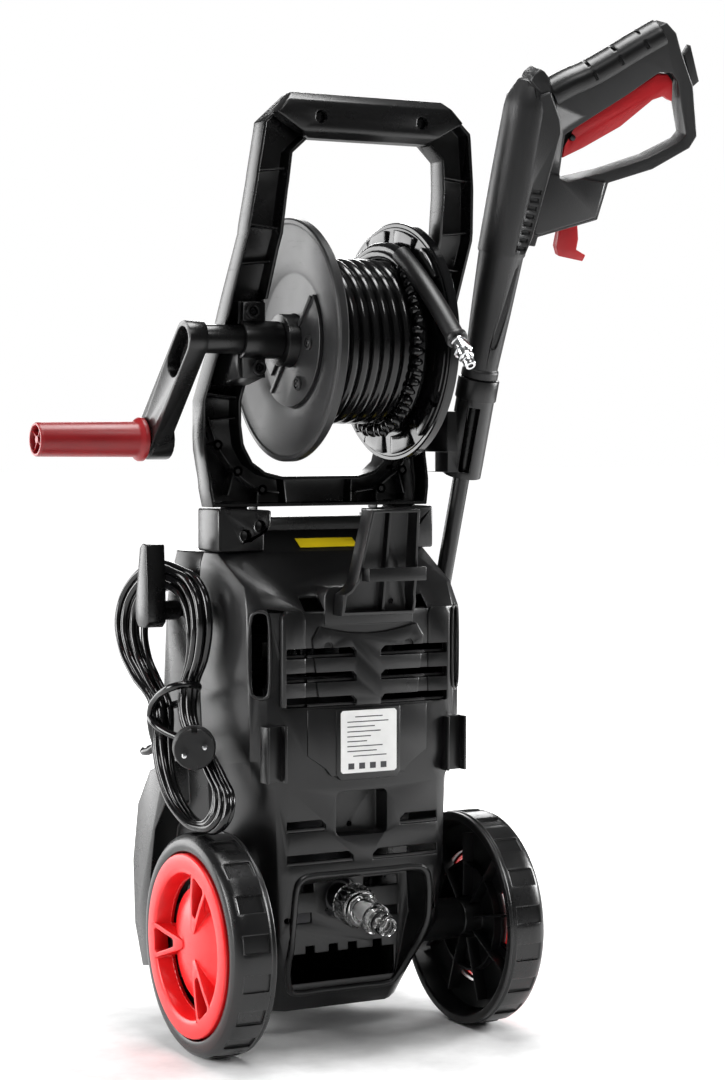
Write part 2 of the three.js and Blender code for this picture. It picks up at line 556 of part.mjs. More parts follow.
add('reel_drum', reelDrum(), satin);
add('reel_flange_left', leftFlange(), satin);
add('reel_flange_right', flange(1), gloss);
const shaft = join(rod([-52, REEL_Y, REEL_Z], [-100, REEL_Y, REEL_Z], 9, 18),
  rod([-93.9, REEL_Y, REEL_Z], [CRANK_X + 9.4, REEL_Y, REEL_Z], JOURNAL_R - 0.1, 18));
add('crank_shaft', shaft, satin);

// swivel on the reel's right journal, where the feed hose from the pump arrives
add('reel_swivel', cut(join(rod([104.4, REEL_Y, REEL_Z], [116, REEL_Y, REEL_Z], 10, 18),
  rod([90, REEL_Y, REEL_Z], [105, REEL_Y, REEL_Z], 5.6, 14)), rod([80, REEL_Y, REEL_Z], [112, REEL_Y, REEL_Z], 3, 12)), castAlloy);

// crank
const CRANK_END = [REEL_Y + CRANK_ARM.y, REEL_Z + CRANK_ARM.z];
function crankArm() {
  const shape = link([REEL_Y, REEL_Z], CRANK_END, 16, 17);
  let body = prism(shape, 'x', CRANK_X - 9, CRANK_X + 9);
  const reach = (t) => [REEL_Y + CRANK_ARM.y * t, REEL_Z + CRANK_ARM.z * t];
  body = cut(body, prism(link(reach(0.02), reach(0.24), 12.6, 12.6), 'x', CRANK_X - 20, CRANK_X + 4));
  body = join(body, rod([CRANK_X - 6, ...CRANK_END], [CRANK_X + 15, ...CRANK_END], 18.5, 20));
  return cut(body, rod([CRANK_X - 30, ...CRANK_END], [CRANK_X + 9, ...CRANK_END], 6 + GAP, 20));
}
add('crank_arm', crankArm(), black);

function crankGrip() {
  const start = CRANK_X - 9.4;
  const profile = [[start, 6.6], [start, 20], [start - 5, 20], [start - 9, GRIP_R], [start - GRIP_LENGTH, GRIP_R - 1],
    [start - GRIP_LENGTH - 1, GRIP_R - 2], [start - GRIP_LENGTH - 1, GRIP_R - 4], [start - 24, GRIP_R - 4], [start - 24, 6.6]];
  const sleeve = turned([...profile, profile[0]], [0, ...CRANK_END], 20);
  const web = (turn) => solid(new THREE.BoxGeometry(60, 1.6, 2 * GRIP_R - 5).rotateX(turn * deg)
    .translate(start - GRIP_LENGTH + 26, ...CRANK_END));
  return join(sleeve, web(35), web(125));
}
add('crank_grip', crankGrip(), darkRed);
add('crank_pin', join(rod([CRANK_X + 8.4, ...CRANK_END], [CRANK_X - 36, ...CRANK_END], 6, 20),
  rod([CRANK_X - 33.8, ...CRANK_END], [CRANK_X - 38, ...CRANK_END], 8.5, 20)), steel);

// wound hose, its free end and the connector
const ringProfile = [[-44, CORE_R], [-44, COIL_R], [27, COIL_R], [30, COIL_R + 9], [44, COIL_R + 9], [44, CORE_R]];
const coil = turned([...ringProfile, ringProfile[0]], [0, REEL_Y, REEL_Z], 36);
const BOOT = [[38, -38, 715], [38.5, -64, 697], [39, -98, 669], [40, -133, 636]];
const TIP = { from: [40.02, -133.5, 635.5], to: [40.4, -157, 611] };
add('hose_coil', cut(coil, tube(BOOT, 9.8, 10, 8)), gloss);
add('hose_boot', tube(BOOT, 9, 10, 8), rubber);
function hoseConnector() {
  const { from, to } = TIP;
  const at = (t) => from.map((v, i) => v + (to[i] - v) * t);
  return join(rod(at(0), at(0.35), 7, 16), rod(at(0.3), at(0.45), 8.2, 6), rod(at(0.4), at(0.75), 6, 16),
    rod(at(0.7), at(0.8), 7.2, 16), rod(at(0.75), at(1), 5.2, 16));
}
add('hose_connector', hoseConnector(), steel);

// high-pressure hose from the pump up the right leg to the swivel
add('feed_hose', tube(feedRoute, 6, 8, 36), rubber);

// ---------------------------------------------------------------- motor and pump
function motorHousing() {
  const profile = [[205, 20], [205, 48], [330, 48], [330, 42.5], [212, 42.5], [212, 20]];
  let body = turned([...profile, profile[0]].map(([z, r]) => [z, r]), [0, MOTOR_Y, 0], 20, 'z');
  for (const i of range(8)) {
    const fin = new THREE.BoxGeometry(5, 3, 100).translate(49, 0, 268).rotateZ(i * 45 * deg + 0.3);
    body = join(body, solid(fin.translate(0, MOTOR_Y, 0)));
  }
  return body;
}
add('motor_housing', motorHousing(), castAlloy);
add('motor_winding', turned([[216, 31], [216, 42], [318, 42], [318, 31], [216, 31]], [0, MOTOR_Y, 0], 20, 'z'), copper);
function motorRotor() {
  const body = join(rod([0, MOTOR_Y, 186], [0, MOTOR_Y, 352], 6, 20), rod([0, MOTOR_Y, 222], [0, MOTOR_Y, 312], 30, 20),
    rod([0, MOTOR_Y, 340], [0, MOTOR_Y, 344], 40, 20));
  return join(body, ...range(7).map((i) => solid(new THREE.BoxGeometry(28, 1.6, 14).translate(24, 0, 351)
    .rotateZ((i * 360 / 7) * deg).translate(0, MOTOR_Y, 0))));
}
add('motor_rotor', motorRotor(), steel);
function pumpHead() {
  const body = join(box([-34, 34], [MOTOR_Y - 32, MOTOR_Y + 32], [84, 170]), rod([0, MOTOR_Y, 168], [0, MOTOR_Y, 204.6], 38, 20),
    rod([0, MOTOR_Y - 30, INLET_Z], [0, 12, INLET_Z], 15, 20),
    rod([0, 12.5, INLET_Z], [0, -10, INLET_Z], 12, 18));
  return cut(body, rod([0, MOTOR_Y, 184], [0, MOTOR_Y, 210], 6.6, 20), rod([0, MOTOR_Y, 196], [0, MOTOR_Y, 210], 19, 18),
    rod([0, 20, INLET_Z], [0, -20, INLET_Z], 8, 16));
}
add('pump_head', pumpHead(), castAlloy);
add('pump_outlet', join(rod([34.3, MOTOR_Y, 130], [50, MOTOR_Y, 130], 9, 14),
  rod([50, MOTOR_Y, 124], [50, MOTOR_Y, 142], 9, 14)), steel);

// Garden-hose inlet on the pump's port: a clear union nut and filter bowl, drooping a little.
const inlet = new THREE.Group();
inlet.position.set(0, 0, INLET_Z);
inlet.rotation.x = INLET_DROOP * deg;
machine.add(inlet);
const ring = (points, sides) => turned([...points, points[0]], [0, 0, 0], sides, 'y');
add('inlet_nut', ring([[-11, 13.6], [-11, 19], [-31, 19], [-31, 13.6]], 18), clear, inlet);
add('inlet_bowl', ring([[-31.4, 16], [-36, 16], [-38, 12.5], [-56, 12], [-58, 14.5], [-61, 14.5], [-63, 9.5], [-83, 9.5],
  [-83, 6], [-60, 6], [-57, 9.5], [-31.4, 10]], 18), clear, inlet);
add('inlet_filter', ring([[-31.6, 8], [-54, 6.5], [-54, 5.2], [-31.6, 6.8]], 16), paper, inlet);
add('inlet_o_ring', ring([[-71, 9.8], [-71, 11.2], [-74, 11.2], [-74, 9.8]], 18), rubber, inlet);

// ---------------------------------------------------------------- switch
add('switch_box', box([-30, 30], [138, 164], [300, 360]), black);
add('switch_knob', join(rod([0, 164.6, 330], [0, 192, 330], 7, 20), rod([0, 190, 330], [0, 202, 330], 25, 32, 22),
  box([-4, 4], [200, 212], [309, 351])), red);

// ---------------------------------------------------------------- power cord and its hook
function cordHook() {
  const paddle = [[HOOK_Y - 15, HOOK_Z - 4], [HOOK_Y - 14, HOOK_Z - 10], [HOOK_Y - 7, HOOK_Z - 15], [HOOK_Y + 8, HOOK_Z - 15],
    [HOOK_Y + 14, HOOK_Z - 8], [HOOK_Y + 15, HOOK_Z + 4], [HOOK_Y + 4, HOOK_Z + 58], [HOOK_Y - 2, HOOK_Z + 62],
    [HOOK_Y - 11, HOOK_Z + 61]];
  return join(prism(paddle, 'x', HOOK_X - 10, HOOK_X + 8.5),
    rod([HOOK_X, HOOK_Y, HOOK_Z], [-123.4, HOOK_Y, HOOK_Z], 9, 20),
    rod([HOOK_X, HOOK_Y, HOOK_Z], [-112, HOOK_Y, HOOK_Z], 5.7, 20));
}
add('cord_hook', cordHook(), satin);


// The hank hangs over the hook's post: a long loop, pinched in the middle by its own last turn.
const HANK_X = [-140, -124.4];
const hankOuter = [[HOOK_Y - 62, 398], [HOOK_Y - 46, 420], [HOOK_Y - 16, 430], [HOOK_Y + 26, 426], [HOOK_Y + 54, 408],
  [HOOK_Y + 62, 384], [HOOK_Y + 58, 352], [66, 290], [44, 262], [12, 212], [-8, 200], [-30, 206], [-40, 224],
  [-38, 250], [-14, 290], [22, 322], [30, 340]];
const hankInner = [[HOOK_Y - 34, 386], [HOOK_Y - 22, 402], [HOOK_Y + 16, 402], [HOOK_Y + 30, 390], [HOOK_Y + 34, 368],
  [HOOK_Y + 22, 344], [60, 332], [54, 344]];
const hank = cut(prism(hankOuter, 'x', ...HANK_X), prism(hankInner, 'x', ...HANK_X.map((x, i) => x + (i ? 5 : -5))));
add('cord_hank', cut(hank, bodyOuter.translate(-GAP, 0, 0),
  rod([HOOK_X, HOOK_Y, HOOK_Z], [-110, HOOK_Y, HOOK_Z], 9 + GAP, 20)), gloss);

const PLUG = [-146.5, 10, 277];
function powerPlug() {
  const [x, y, z] = PLUG;
  const place = (geometry) => solid(geometry.rotateZ(-24 * deg).translate(x, y, z));
  const face = new THREE.CylinderGeometry(18.5, 19.5, 20, 20);
  const rear = new THREE.CylinderGeometry(19, 12, 10, 20).translate(0, 0, 0);
  const parts = [face.translate(0, -18, 0), rear.translate(0, -3.2, 0)];
  for (const side of [-1, 1]) parts.push(new THREE.CylinderGeometry(2.4, 2.4, 20, 14).translate(side * 9.5, -37, -4 * side));
  return join(...parts.map(place));
}
add('power_plug', cut(powerPlug(), hank.translate(-GAP, 0, 0), hank), rubber);

add('cord_gland', join(rod([-98, 126, 262], [-122, 126, 262], 8, 16),
  rod([-120.6, 126, 262], [-130, 126, 262], 10, 16, 5.5)), rubber);
const leadRoute = [[-130.8, 126, 262], [-133, 126, 262], [-139, 125, 260], [-143, 114, 250], [-143, 98, 244], [-140, 82, 248], [-135, 70, 262],
  [-132, 66, 284]];
add('power_cord_lead', cut(tube(leadRoute, CORD_R, 8, 20), hank.translate(-GAP, 0, 0), hank, bodyOuter), gloss);

// ---------------------------------------------------------------- gun, lance and holster
const back = Math.tan(GUN_LEAN_BACK * deg);
const out = Math.tan(GUN_LEAN_OUT * deg);
const axis = new THREE.Vector3(out, -back, 1).normalize();
const across = new THREE.Vector3(Math.cos(GUN_TURN * deg), -Math.sin(GUN_TURN * deg), 0);
across.addScaledVector(axis, -across.dot(axis)).normalize();
const gun = new THREE.Group();
gun.applyMatrix4(new THREE.Matrix4().makeBasis(across, axis.clone().cross(across), axis));
gun.position.set(...GUN_ORIGIN);
machine.add(gun);

// In the gun's group: X across towards the grip, Y through the gun's thickness, Z along the lance.
const HOLSTER_R = 18;
function holster() {
  const sleeve = join(rod([0, 0, -95], [0, 0, 0], HOLSTER_R, 20), rod([0, 0, -20], [0, 0, 0], HOLSTER_R + 1.5, 20));
  return cut(sleeve, rod([0, 0, -110], [0, 0, 10], HOLSTER_R - WALL, 20), box([-9, 1], [-40, -10], [-88, -26]));
}
machine.updateMatrixWorld(true);
const toGun = gun.matrixWorld.clone().invert();
const inGun = (body) => body.transform(toGun.toArray());
// the bracket from the frame's right leg: a plate on the leg's side, a web and a thick block under it
const bracket = join(box([117.4, 121], [16, 68], [537, 575]), box([117.4, 132], [14, 26], [537, 575]),
  box([119, 133], [16, 40], [518, 537.5]));
add('gun_holster', join(holster(), cut(inGun(bracket), rod([0, 0, -120], [0, 0, 20], HOLSTER_R - 1, 20))), black, gun);

const gunOutline = [[-13, 8], [-20, 60], [-24, 128], [-25, 190], [-22, 262], [-11, 281], [-4, 284], [2, 292], [7, 290],
  [14, 284], [26, 291], [40, 300], [60, 312], [84, 333], [108, 351], [120, 344], [134, 322], [150, 296], [163, 252],
  [158, 240], [126, 216], [86, 198], [82, 163], [28, 140], [27, 131], [23, 130], [14, 8]];
const gunWindow = [[36, 236], [60, 256], [90, 281], [115, 304], [127, 305], [134, 298], [152, 252], [148, 245], [120, 226],
  [80, 207], [46, 194], [38, 196]];
const TRIGGER_PIVOT = [45, 234];
const triggerShape = [[39.5, 214], [58, 226], [90, 250], [116, 278], [126, 283], [135, 279], [132, 297], [126, 303],
  [116, 302], [90, 280], [60, 257], [46, 245], [39.5, 238]];

function gunBody() {
  const barrel = turned([[-20, 0], [-20, 14], [GAP, 14], [GAP, 17.5], [9, 17.5], [9, 15.8], [121, 22], [263, 21.5], [278, 12],
    [278, 0]], [0, 0, 0], 20, 'z');
  const plate = prism(gunOutline, 'y', -14, 14);
  const grip = prism([[8, 285], [26, 290], [60, 311], [84, 332], [108, 350], [124, 336], [134, 306], [116, 308], [60, 260],
    [30, 238], [12, 240]], 'y', -17, 17);
  const lock = prism([[83, 200], [81, 164], [30, 141], [20, 141], [24, 200]], 'y', -16.5, 16.5);
  let body = join(barrel, plate, grip, lock);
  body = cut(body, prism(gunWindow, 'y', -40, 40));
  // room for the trigger inside the grip
  body = cut(body, prism([[34, 212], [60, 226], [92, 250], [118, 268],
    [138, 274], [137, 302], [126, 315], [102, 318], [84, 300], [54, 268], [34, 246]], 'y', -8, 8));
  body = cut(body, rod([TRIGGER_PIVOT[0], -12, TRIGGER_PIVOT[1]], [TRIGGER_PIVOT[0], 12, TRIGGER_PIVOT[1]], 2.6 + GAP, 14));
  // lance bore, release slot, long side windows and vent slots
  body = cut(body, rod([0, 0, -30], [0, 0, 60], LANCE_R + GAP, 18), box([46, 74], [-6, 6], [120, 160]));
  for (const side of [-1, 1]) {
    body = cut(body, prism(link([15, 108], [3, 34], 3.6, 2.6, 6), 'y', side * 9, side * 40));
  }
  // seat of the safety slide
  return cut(body, prism([[140, 334], [165, 293], [153, 281], [134, 320]], 'y', -6, 6));
}
add('gun_body', gunBody(), satin, gun);
add('gun_trigger', cut(prism(triggerShape, 'y', -7.4, 7.4), rod([TRIGGER_PIVOT[0], -12, TRIGGER_PIVOT[1]],
  [TRIGGER_PIVOT[0], 12, TRIGGER_PIVOT[1]], 2.6 + GAP, 14)), red, gun);
add('gun_trigger_pin', rod([TRIGGER_PIVOT[0], -11.6, TRIGGER_PIVOT[1]], [TRIGGER_PIVOT[0], 11.6, TRIGGER_PIVOT[1]], 2.6, 14), steel, gun);
add('gun_release', prism([[50, 158], [50, 132], [54, 124], [78, 122], [80, 128], [70, 132], [70, 142], [66, 158]], 'y', -5.6, 5.6), red, gun);
add('gun_safety', prism([[143, 332], [158, 301], [152, 294], [139, 322]], 'y', -5.6, 5.6), satin, gun);
add('lance_tube', cut(rod([0, 0, 58], [0, 0, -LANCE_LENGTH], LANCE_R, 18), rod([0, 0, 70], [0, 0, -LANCE_LENGTH - 10], LANCE_R - 3, 16)), satin, gun);
add('lance_nozzle', cut(rod([0, 0, -LANCE_LENGTH - 0.4], [0, 0, -LANCE_LENGTH - 34], 12, 24, 14), rod([0, 0, -LANCE_LENGTH + 5], [0, 0, -LANCE_LENGTH - 40], 3, 12)), satin, gun);

machine.position.y = -FOOT_Y;

export default machine;
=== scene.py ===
"""An upright electric pressure washer: its finished pieces around the loaded frame."""
import json
import math

import bmesh
import bpy
from bpy.props import FloatProperty, FloatVectorProperty, PointerProperty
from mathutils import Euler, Matrix, Vector


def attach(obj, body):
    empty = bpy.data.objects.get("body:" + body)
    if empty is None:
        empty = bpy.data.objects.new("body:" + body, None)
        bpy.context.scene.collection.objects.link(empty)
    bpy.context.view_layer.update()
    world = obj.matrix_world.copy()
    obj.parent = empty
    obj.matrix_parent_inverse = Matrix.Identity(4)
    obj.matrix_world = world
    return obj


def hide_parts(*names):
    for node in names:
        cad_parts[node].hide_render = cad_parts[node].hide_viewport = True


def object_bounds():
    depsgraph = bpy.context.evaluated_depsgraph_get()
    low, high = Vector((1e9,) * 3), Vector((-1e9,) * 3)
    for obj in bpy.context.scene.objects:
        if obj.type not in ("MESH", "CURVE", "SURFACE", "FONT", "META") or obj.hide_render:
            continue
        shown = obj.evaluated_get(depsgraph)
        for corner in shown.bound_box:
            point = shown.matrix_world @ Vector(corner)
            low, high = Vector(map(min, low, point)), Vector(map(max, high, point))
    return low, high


bl_info = {
    "name": "Pressure washer",
    "version": (1, 0, 0),
    "blender": (4, 5, 0),
    "location": "View3D > Sidebar > Washer",
    "description": "Builds an upright pressure washer with a hose reel and a spray gun",
    "category": "Object",
}

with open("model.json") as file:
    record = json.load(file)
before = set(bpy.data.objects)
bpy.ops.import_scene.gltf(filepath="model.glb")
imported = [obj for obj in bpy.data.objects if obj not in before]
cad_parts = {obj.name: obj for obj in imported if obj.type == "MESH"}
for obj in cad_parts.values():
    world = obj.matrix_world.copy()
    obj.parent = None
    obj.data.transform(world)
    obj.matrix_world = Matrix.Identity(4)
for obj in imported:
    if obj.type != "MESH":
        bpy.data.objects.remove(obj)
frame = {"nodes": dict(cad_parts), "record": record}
frame_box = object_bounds()

# Sizes are in millimetres and angles in degrees, laid out from the floor point under the wheels' axis.
# REEL and CRANK_END are the y and z of their axes, and COVER_ARMS the angles of the arms of a wheel cover.
MM = 0.001
AXLE_Y = -148
REEL = (3.5, 638)
CRANK_END = (91.5, 549)
CRANK_X = -150
WHEEL_R = 100
WHEEL = (0, 0, WHEEL_R)
COVER_ARMS = (-5, 115, 235)
GUN_ORIGIN = (146.3, 5, 606.3)
GUN_LEAN_BACK = 15.3
GUN_LEAN_OUT = 2.3
GUN_TURN = 15
PLUG = (-146.5, 10, 277)
INLET_Z = 129
INLET_DROOP = 9
SIDES = ((-1, "left"), (1, "right"))
FLOOR_SPAN = 60
SOFT_LIGHT = 0.11
LAMPS = (
    # name, place in metres, width in metres, power in watts
    ("lamp_left", (-2.5, 0.2, 0.9), 1.2, 60),
    ("lamp_front_left", (-1.35, 2.35, 0.8), 1.7, 46),
    ("lamp_right", (2.0, -0.55, 0.9), 0.8, 50),
    ("lamp_behind_camera", (-0.3, -2.5, 2.9), 0.8, 20),
    ("lamp_top", (0.1, -0.1, 2.5), 1.1, 48),
    ("lamp_far_side", (1.4, 2.4, 1.5), 1.2, 34),
)
LAMP_AIM_Z = 0.45
CAMERA_PLACE = (-1080.3, -2010.4, 556.2)
CAMERA_LENS = 83.57
CAMERA_SENSOR = 36
CAMERA_DIP = 2.48
CAMERA_TURN = -28.67


# ---------------------------------------------------------------- places
def at(x, y, z):
    """A point of the axle's own layout, in millimetres, as a point of the frame in metres."""
    return Vector((x * MM, (y + AXLE_Y) * MM, z * MM))


def gun_axes():
    """The gun's own place: X across to the grip, Y through its thickness, Z along the lance."""
    lean_out = math.tan(math.radians(GUN_LEAN_OUT))
    lean_back = math.tan(math.radians(GUN_LEAN_BACK))
    along = Vector((lean_out, -lean_back, 1)).normalized()
    turn = math.radians(GUN_TURN)
    across = Vector((math.cos(turn), -math.sin(turn), 0))
    across = (across - along * across.dot(along)).normalized()
    through = along.cross(across)
    turned_to = Matrix((across, through, along)).transposed().to_4x4()
    return Matrix.Translation(at(*GUN_ORIGIN)) @ turned_to


GUN = gun_axes()


# ---------------------------------------------------------------- modelling by hand
def pick(piece):
    """Only this piece is selected, and it is the active one."""
    if bpy.context.object and bpy.context.object.mode != "OBJECT":
        bpy.ops.object.mode_set(mode="OBJECT")
    bpy.ops.object.select_all(action="DESELECT")
    piece.select_set(True)
    bpy.context.view_layer.objects.active = piece


def started(name):
    """The primitive just added, named as a piece."""
    piece = bpy.context.object
    piece.name = name
    piece.data.name = name
    return piece


def edit(piece):
    """Edit mode, with all of the piece selected."""
    pick(piece)
    bpy.ops.object.mode_set(mode="EDIT")
    bpy.ops.mesh.select_mode(type="VERT")
    bpy.ops.mesh.select_all(action="SELECT")


def leave():
    """Back to object mode."""
    bpy.ops.object.mode_set(mode="OBJECT")


def apply_modifier(piece, kind, **settings):
    """Adds one modifier and applies it at once."""
    pick(piece)
    modifier = piece.modifiers.new(kind.title(), kind)
    for key, value in settings.items():
        setattr(modifier, key, value)
    bpy.ops.object.modifier_apply(modifier=modifier.name)


def smooth(piece, angle=32):
    """Shades the piece smooth, apart from edges sharper than an angle in degrees."""
    pick(piece)
    bpy.ops.object.shade_smooth_by_angle(angle=math.radians(angle))


def bevelled(piece, width, segments=2, angle=32):
    """Rounds the piece's sharp edges by a width in millimetres."""
    apply_modifier(piece, "BEVEL", width=width * MM, segments=segments, limit_method="ANGLE",
                   angle_limit=math.radians(angle), use_clamp_overlap=False)
    smooth(piece)
    return piece


def joined(name, parts):
    """Several parts as one piece."""
    pick(parts[0])
    for part in parts[1:]:
        part.select_set(True)
    if len(parts) > 1:
        bpy.ops.object.join()
    return started(name)


def settle(piece):
    """The piece's place goes into its mesh."""
    pick(piece)
    bpy.ops.object.transform_apply(location=True, rotation=True, scale=True)
    return piece


def arc(radius, first, last, steps, middle=(0, 0)):
    """Points along an arc, from one angle to another."""
    angles = [math.radians(first + (last - first) * i / steps) for i in range(steps + 1)]
    return [(middle[0] + radius * math.cos(a), middle[1] + radius * math.sin(a)) for a in angles]


def band(radius, other_radius, first, last, steps, middle):
    """The outline of a bent strip between two radii."""
    return arc(radius, first, last, steps, middle) + arc(other_radius, first, last, steps, middle)[::-1]


def tilted(centre, angle):
    """The place of a piece turned about a crosswise axis through a point."""
    return Matrix.Translation(at(*centre)) @ Matrix.Rotation(math.radians(angle), 4, "X")


AXIS_TURN = {"X": (0, math.pi / 2, 0), "Y": (-math.pi / 2, 0, 0), "Z": (0, 0, 0)}


def turned(name, profile, centre=(0, 0, 0), axis="X", steps=64, ring=False, place=None):
    """A turned piece. The profile holds [along, radius] in millimetres; a ring closes back on itself."""
    bpy.ops.object.select_all(action="DESELECT")
    along, radius = profile[0]
    bpy.ops.mesh.primitive_circle_add(vertices=steps, radius=radius * MM)
    piece = started(name)
    edit(piece)
    bpy.ops.transform.translate(value=(0, 0, along * MM))
    for to, wide in profile[1:]:
        bpy.ops.mesh.extrude_region_move(TRANSFORM_OT_translate={"value": (0, 0, (to - along) * MM)})
        grow = wide / radius
        bpy.ops.transform.resize(value=(grow, grow, 1), center_override=(0, 0, to * MM))
        along, radius = to, wide
    bpy.ops.mesh.select_all(action="DESELECT")
    bpy.ops.mesh.select_non_manifold()
    if ring:
        bpy.ops.mesh.bridge_edge_loops()
    else:
        bpy.ops.mesh.select_all(action="SELECT")
        bpy.ops.mesh.fill_holes(sides=0)
    bpy.ops.mesh.select_all(action="SELECT")
    bpy.ops.mesh.normals_make_consistent(inside=False)
    leave()
    if place is None:
        piece.rotation_euler = AXIS_TURN[axis]
        piece.location = at(*centre)
    else:
        piece.matrix_world = place
    settle(piece)
    smooth(piece)
    return piece


def block(name, low, high, bevel=0.8, place=None):
    """A bar between two corners in millimetres, with rounded edges."""
    bpy.ops.object.select_all(action="DESELECT")
    bpy.ops.mesh.primitive_cube_add(size=1)
    piece = started(name)
    size = [abs(b - a) * MM for a, b in zip(low, high)]
    middle = [(a + b) / 2 for a, b in zip(low, high)]
    piece.scale = size
    settle(piece)
    edit(piece)
    if bevel:
        bpy.ops.mesh.bevel(offset=bevel * MM, segments=2, affect="EDGES")
    leave()
    if place is None:
        piece.location = at(*middle)
    else:
        piece.matrix_world = place @ Matrix.Translation(Vector(middle) * MM)
    settle(piece)
    smooth(piece)
    return piece


def plate(name, outline, depth, plane="XZ", bevel=0.6, place=None):
    """A flat plate: an outline in millimetres in one plane, thick from one depth to the other."""
    bpy.ops.object.select_all(action="DESELECT")
    bpy.ops.mesh.primitive_circle_add(vertices=len(outline), radius=0.01)
    piece = started(name)
    edit(piece)
    shape = bmesh.from_edit_mesh(piece.data)
    for vert, (a, b) in zip(shape.verts, outline):
        vert.co = {"XZ": (a, depth[0], b), "YZ": (depth[0], a, b), "XY": (a, b, depth[0])}[plane]
        vert.co *= MM
    bmesh.update_edit_mesh(piece.data)
    bpy.ops.mesh.edge_face_add()
    reach = (depth[1] - depth[0]) * MM
    push = {"XZ": (0, reach, 0), "YZ": (reach, 0, 0), "XY": (0, 0, reach)}[plane]
    bpy.ops.mesh.extrude_region_move(TRANSFORM_OT_translate={"value": push})
    bpy.ops.mesh.select_all(action="SELECT")
    bpy.ops.mesh.normals_make_consistent(inside=False)
    leave()
    piece.matrix_world = Matrix.Translation((0, AXLE_Y * MM, 0)) if place is None else place
    settle(piece)
    if bevel:
        bevelled(piece, bevel)
    else:
        smooth(piece)
    return piece


def carve(piece, *tools):
    """Takes the tools' shapes out of the piece."""
    for tool in tools:
        apply_modifier(piece, "BOOLEAN", operation="DIFFERENCE", object=tool, solver="EXACT")
        bpy.data.objects.remove(tool)
    return piece


def fuse(piece, *others):
    """Melts the others into the piece."""
    for other in others:
        apply_modifier(piece, "BOOLEAN", operation="UNION", object=other, solver="EXACT")
        bpy.data.objects.remove(other)
    return piece


def spun(piece, copies, centre):
    """Copies of a piece all round a crosswise axis, with the piece itself the first of them."""
    middle = at(*centre)
    parts = [piece]
    for index in range(1, copies):
        pick(piece)
        bpy.ops.object.duplicate()
        twin = bpy.context.object
        turn = Matrix.Rotation(math.radians(360 * index / copies), 4, "X")
        twin.matrix_world = Matrix.Translation(middle) @ turn @ Matrix.Translation(-middle)
        settle(twin)
        parts.append(twin)
    return parts


def frame_copy(node, name):
    """A copy of a frame node's mesh with its loose triangles joined up and its flat faces whole."""
    source = frame["nodes"][node]
    piece = bpy.data.objects.new(name, source.data.copy())
    piece.data.materials.clear()
    bpy.context.scene.collection.objects.link(piece)
    edit(piece)
    bpy.ops.mesh.remove_doubles(threshold=2e-5)
    bpy.ops.mesh.dissolve_limited(angle_limit=math.radians(0.6))
    leave()
    return piece


def finish(piece, body, slot, material, *nodes):
    """Gives a piece its body and its finish, and hides the frame nodes it stands for. The slot is not used.
    """
    piece.data.materials.clear()
    piece.data.materials.append(material)
    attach(piece, body)
    if nodes:
        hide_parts(*nodes)
    return piece


# ---------------------------------------------------------------- finishes
def socketed_group(name, inputs, outputs):
    """A shader group with named number inputs and outputs."""
    group = bpy.data.node_groups.new(name, "ShaderNodeTree")
    for label, default in inputs:
        socket = group.interface.new_socket(name=label, in_out="INPUT", socket_type="NodeSocketFloat")
        socket.default_value = default
    for label in outputs:
        group.interface.new_socket(name=label, in_out="OUTPUT", socket_type="NodeSocketFloat")
    return group, group.nodes.new("NodeGroupInput"), group.nodes.new("NodeGroupOutput")


def wire(tree, pairs):
    """Links each pair of sockets."""
    for start, end in pairs:
        tree.links.new(start, end)


def noise(tree, scale, detail=3, roughness=0.6):
    """A noise texture node."""
    node = tree.nodes.new("ShaderNodeTexNoise")
    node.inputs["Scale"].default_value = scale
    node.inputs["Detail"].default_value = detail
    node.inputs["Roughness"].default_value = roughness
    return node


def remap(tree, low, high):
    """A node that turns 0 to 1 into low to high."""
    node = tree.nodes.new("ShaderNodeMapRange")
    node.inputs["To Min"].default_value = low
    node.inputs["To Max"].default_value = high
    return node


def moulded_grain():
    """Spark-eroded grain of moulded plastic with slow changes of gloss, as height, gloss and tone."""
    group, given, put = socketed_group(
        "moulded_grain", [("Grain", 1800.0), ("Mottle", 18.0)], ["Height", "Gloss", "Tone"])
    place = group.nodes.new("ShaderNodeTexCoord")
    fine = noise(group, 1800, 2)
    slow = noise(group, 18, 4)
    speck = noise(group, 420, 2)
    gloss = remap(group, -0.5, 0.5)
    tone = remap(group, 0.72, 1.3)
    mix = math_node(group, "ADD")
    half = math_node(group, "MULTIPLY")
    half.inputs[1].default_value = 0.5
    wire(group, [
        (place.outputs["Object"], fine.inputs["Vector"]),
        (place.outputs["Object"], slow.inputs["Vector"]),
        (place.outputs["Object"], speck.inputs["Vector"]),
        (given.outputs["Grain"], fine.inputs["Scale"]),
        (given.outputs["Mottle"], slow.inputs["Scale"]),
        (speck.outputs["Fac"], half.inputs[0]),
        (fine.outputs["Fac"], mix.inputs[0]),
        (half.outputs[0], mix.inputs[1]),
        (mix.outputs[0], put.inputs["Height"]),
        (slow.outputs["Fac"], gloss.inputs["Value"]),
        (gloss.outputs["Result"], put.inputs["Gloss"]),
        (slow.outputs["Fac"], tone.inputs["Value"]),
        (tone.outputs["Result"], put.inputs["Tone"]),
    ])
    return group


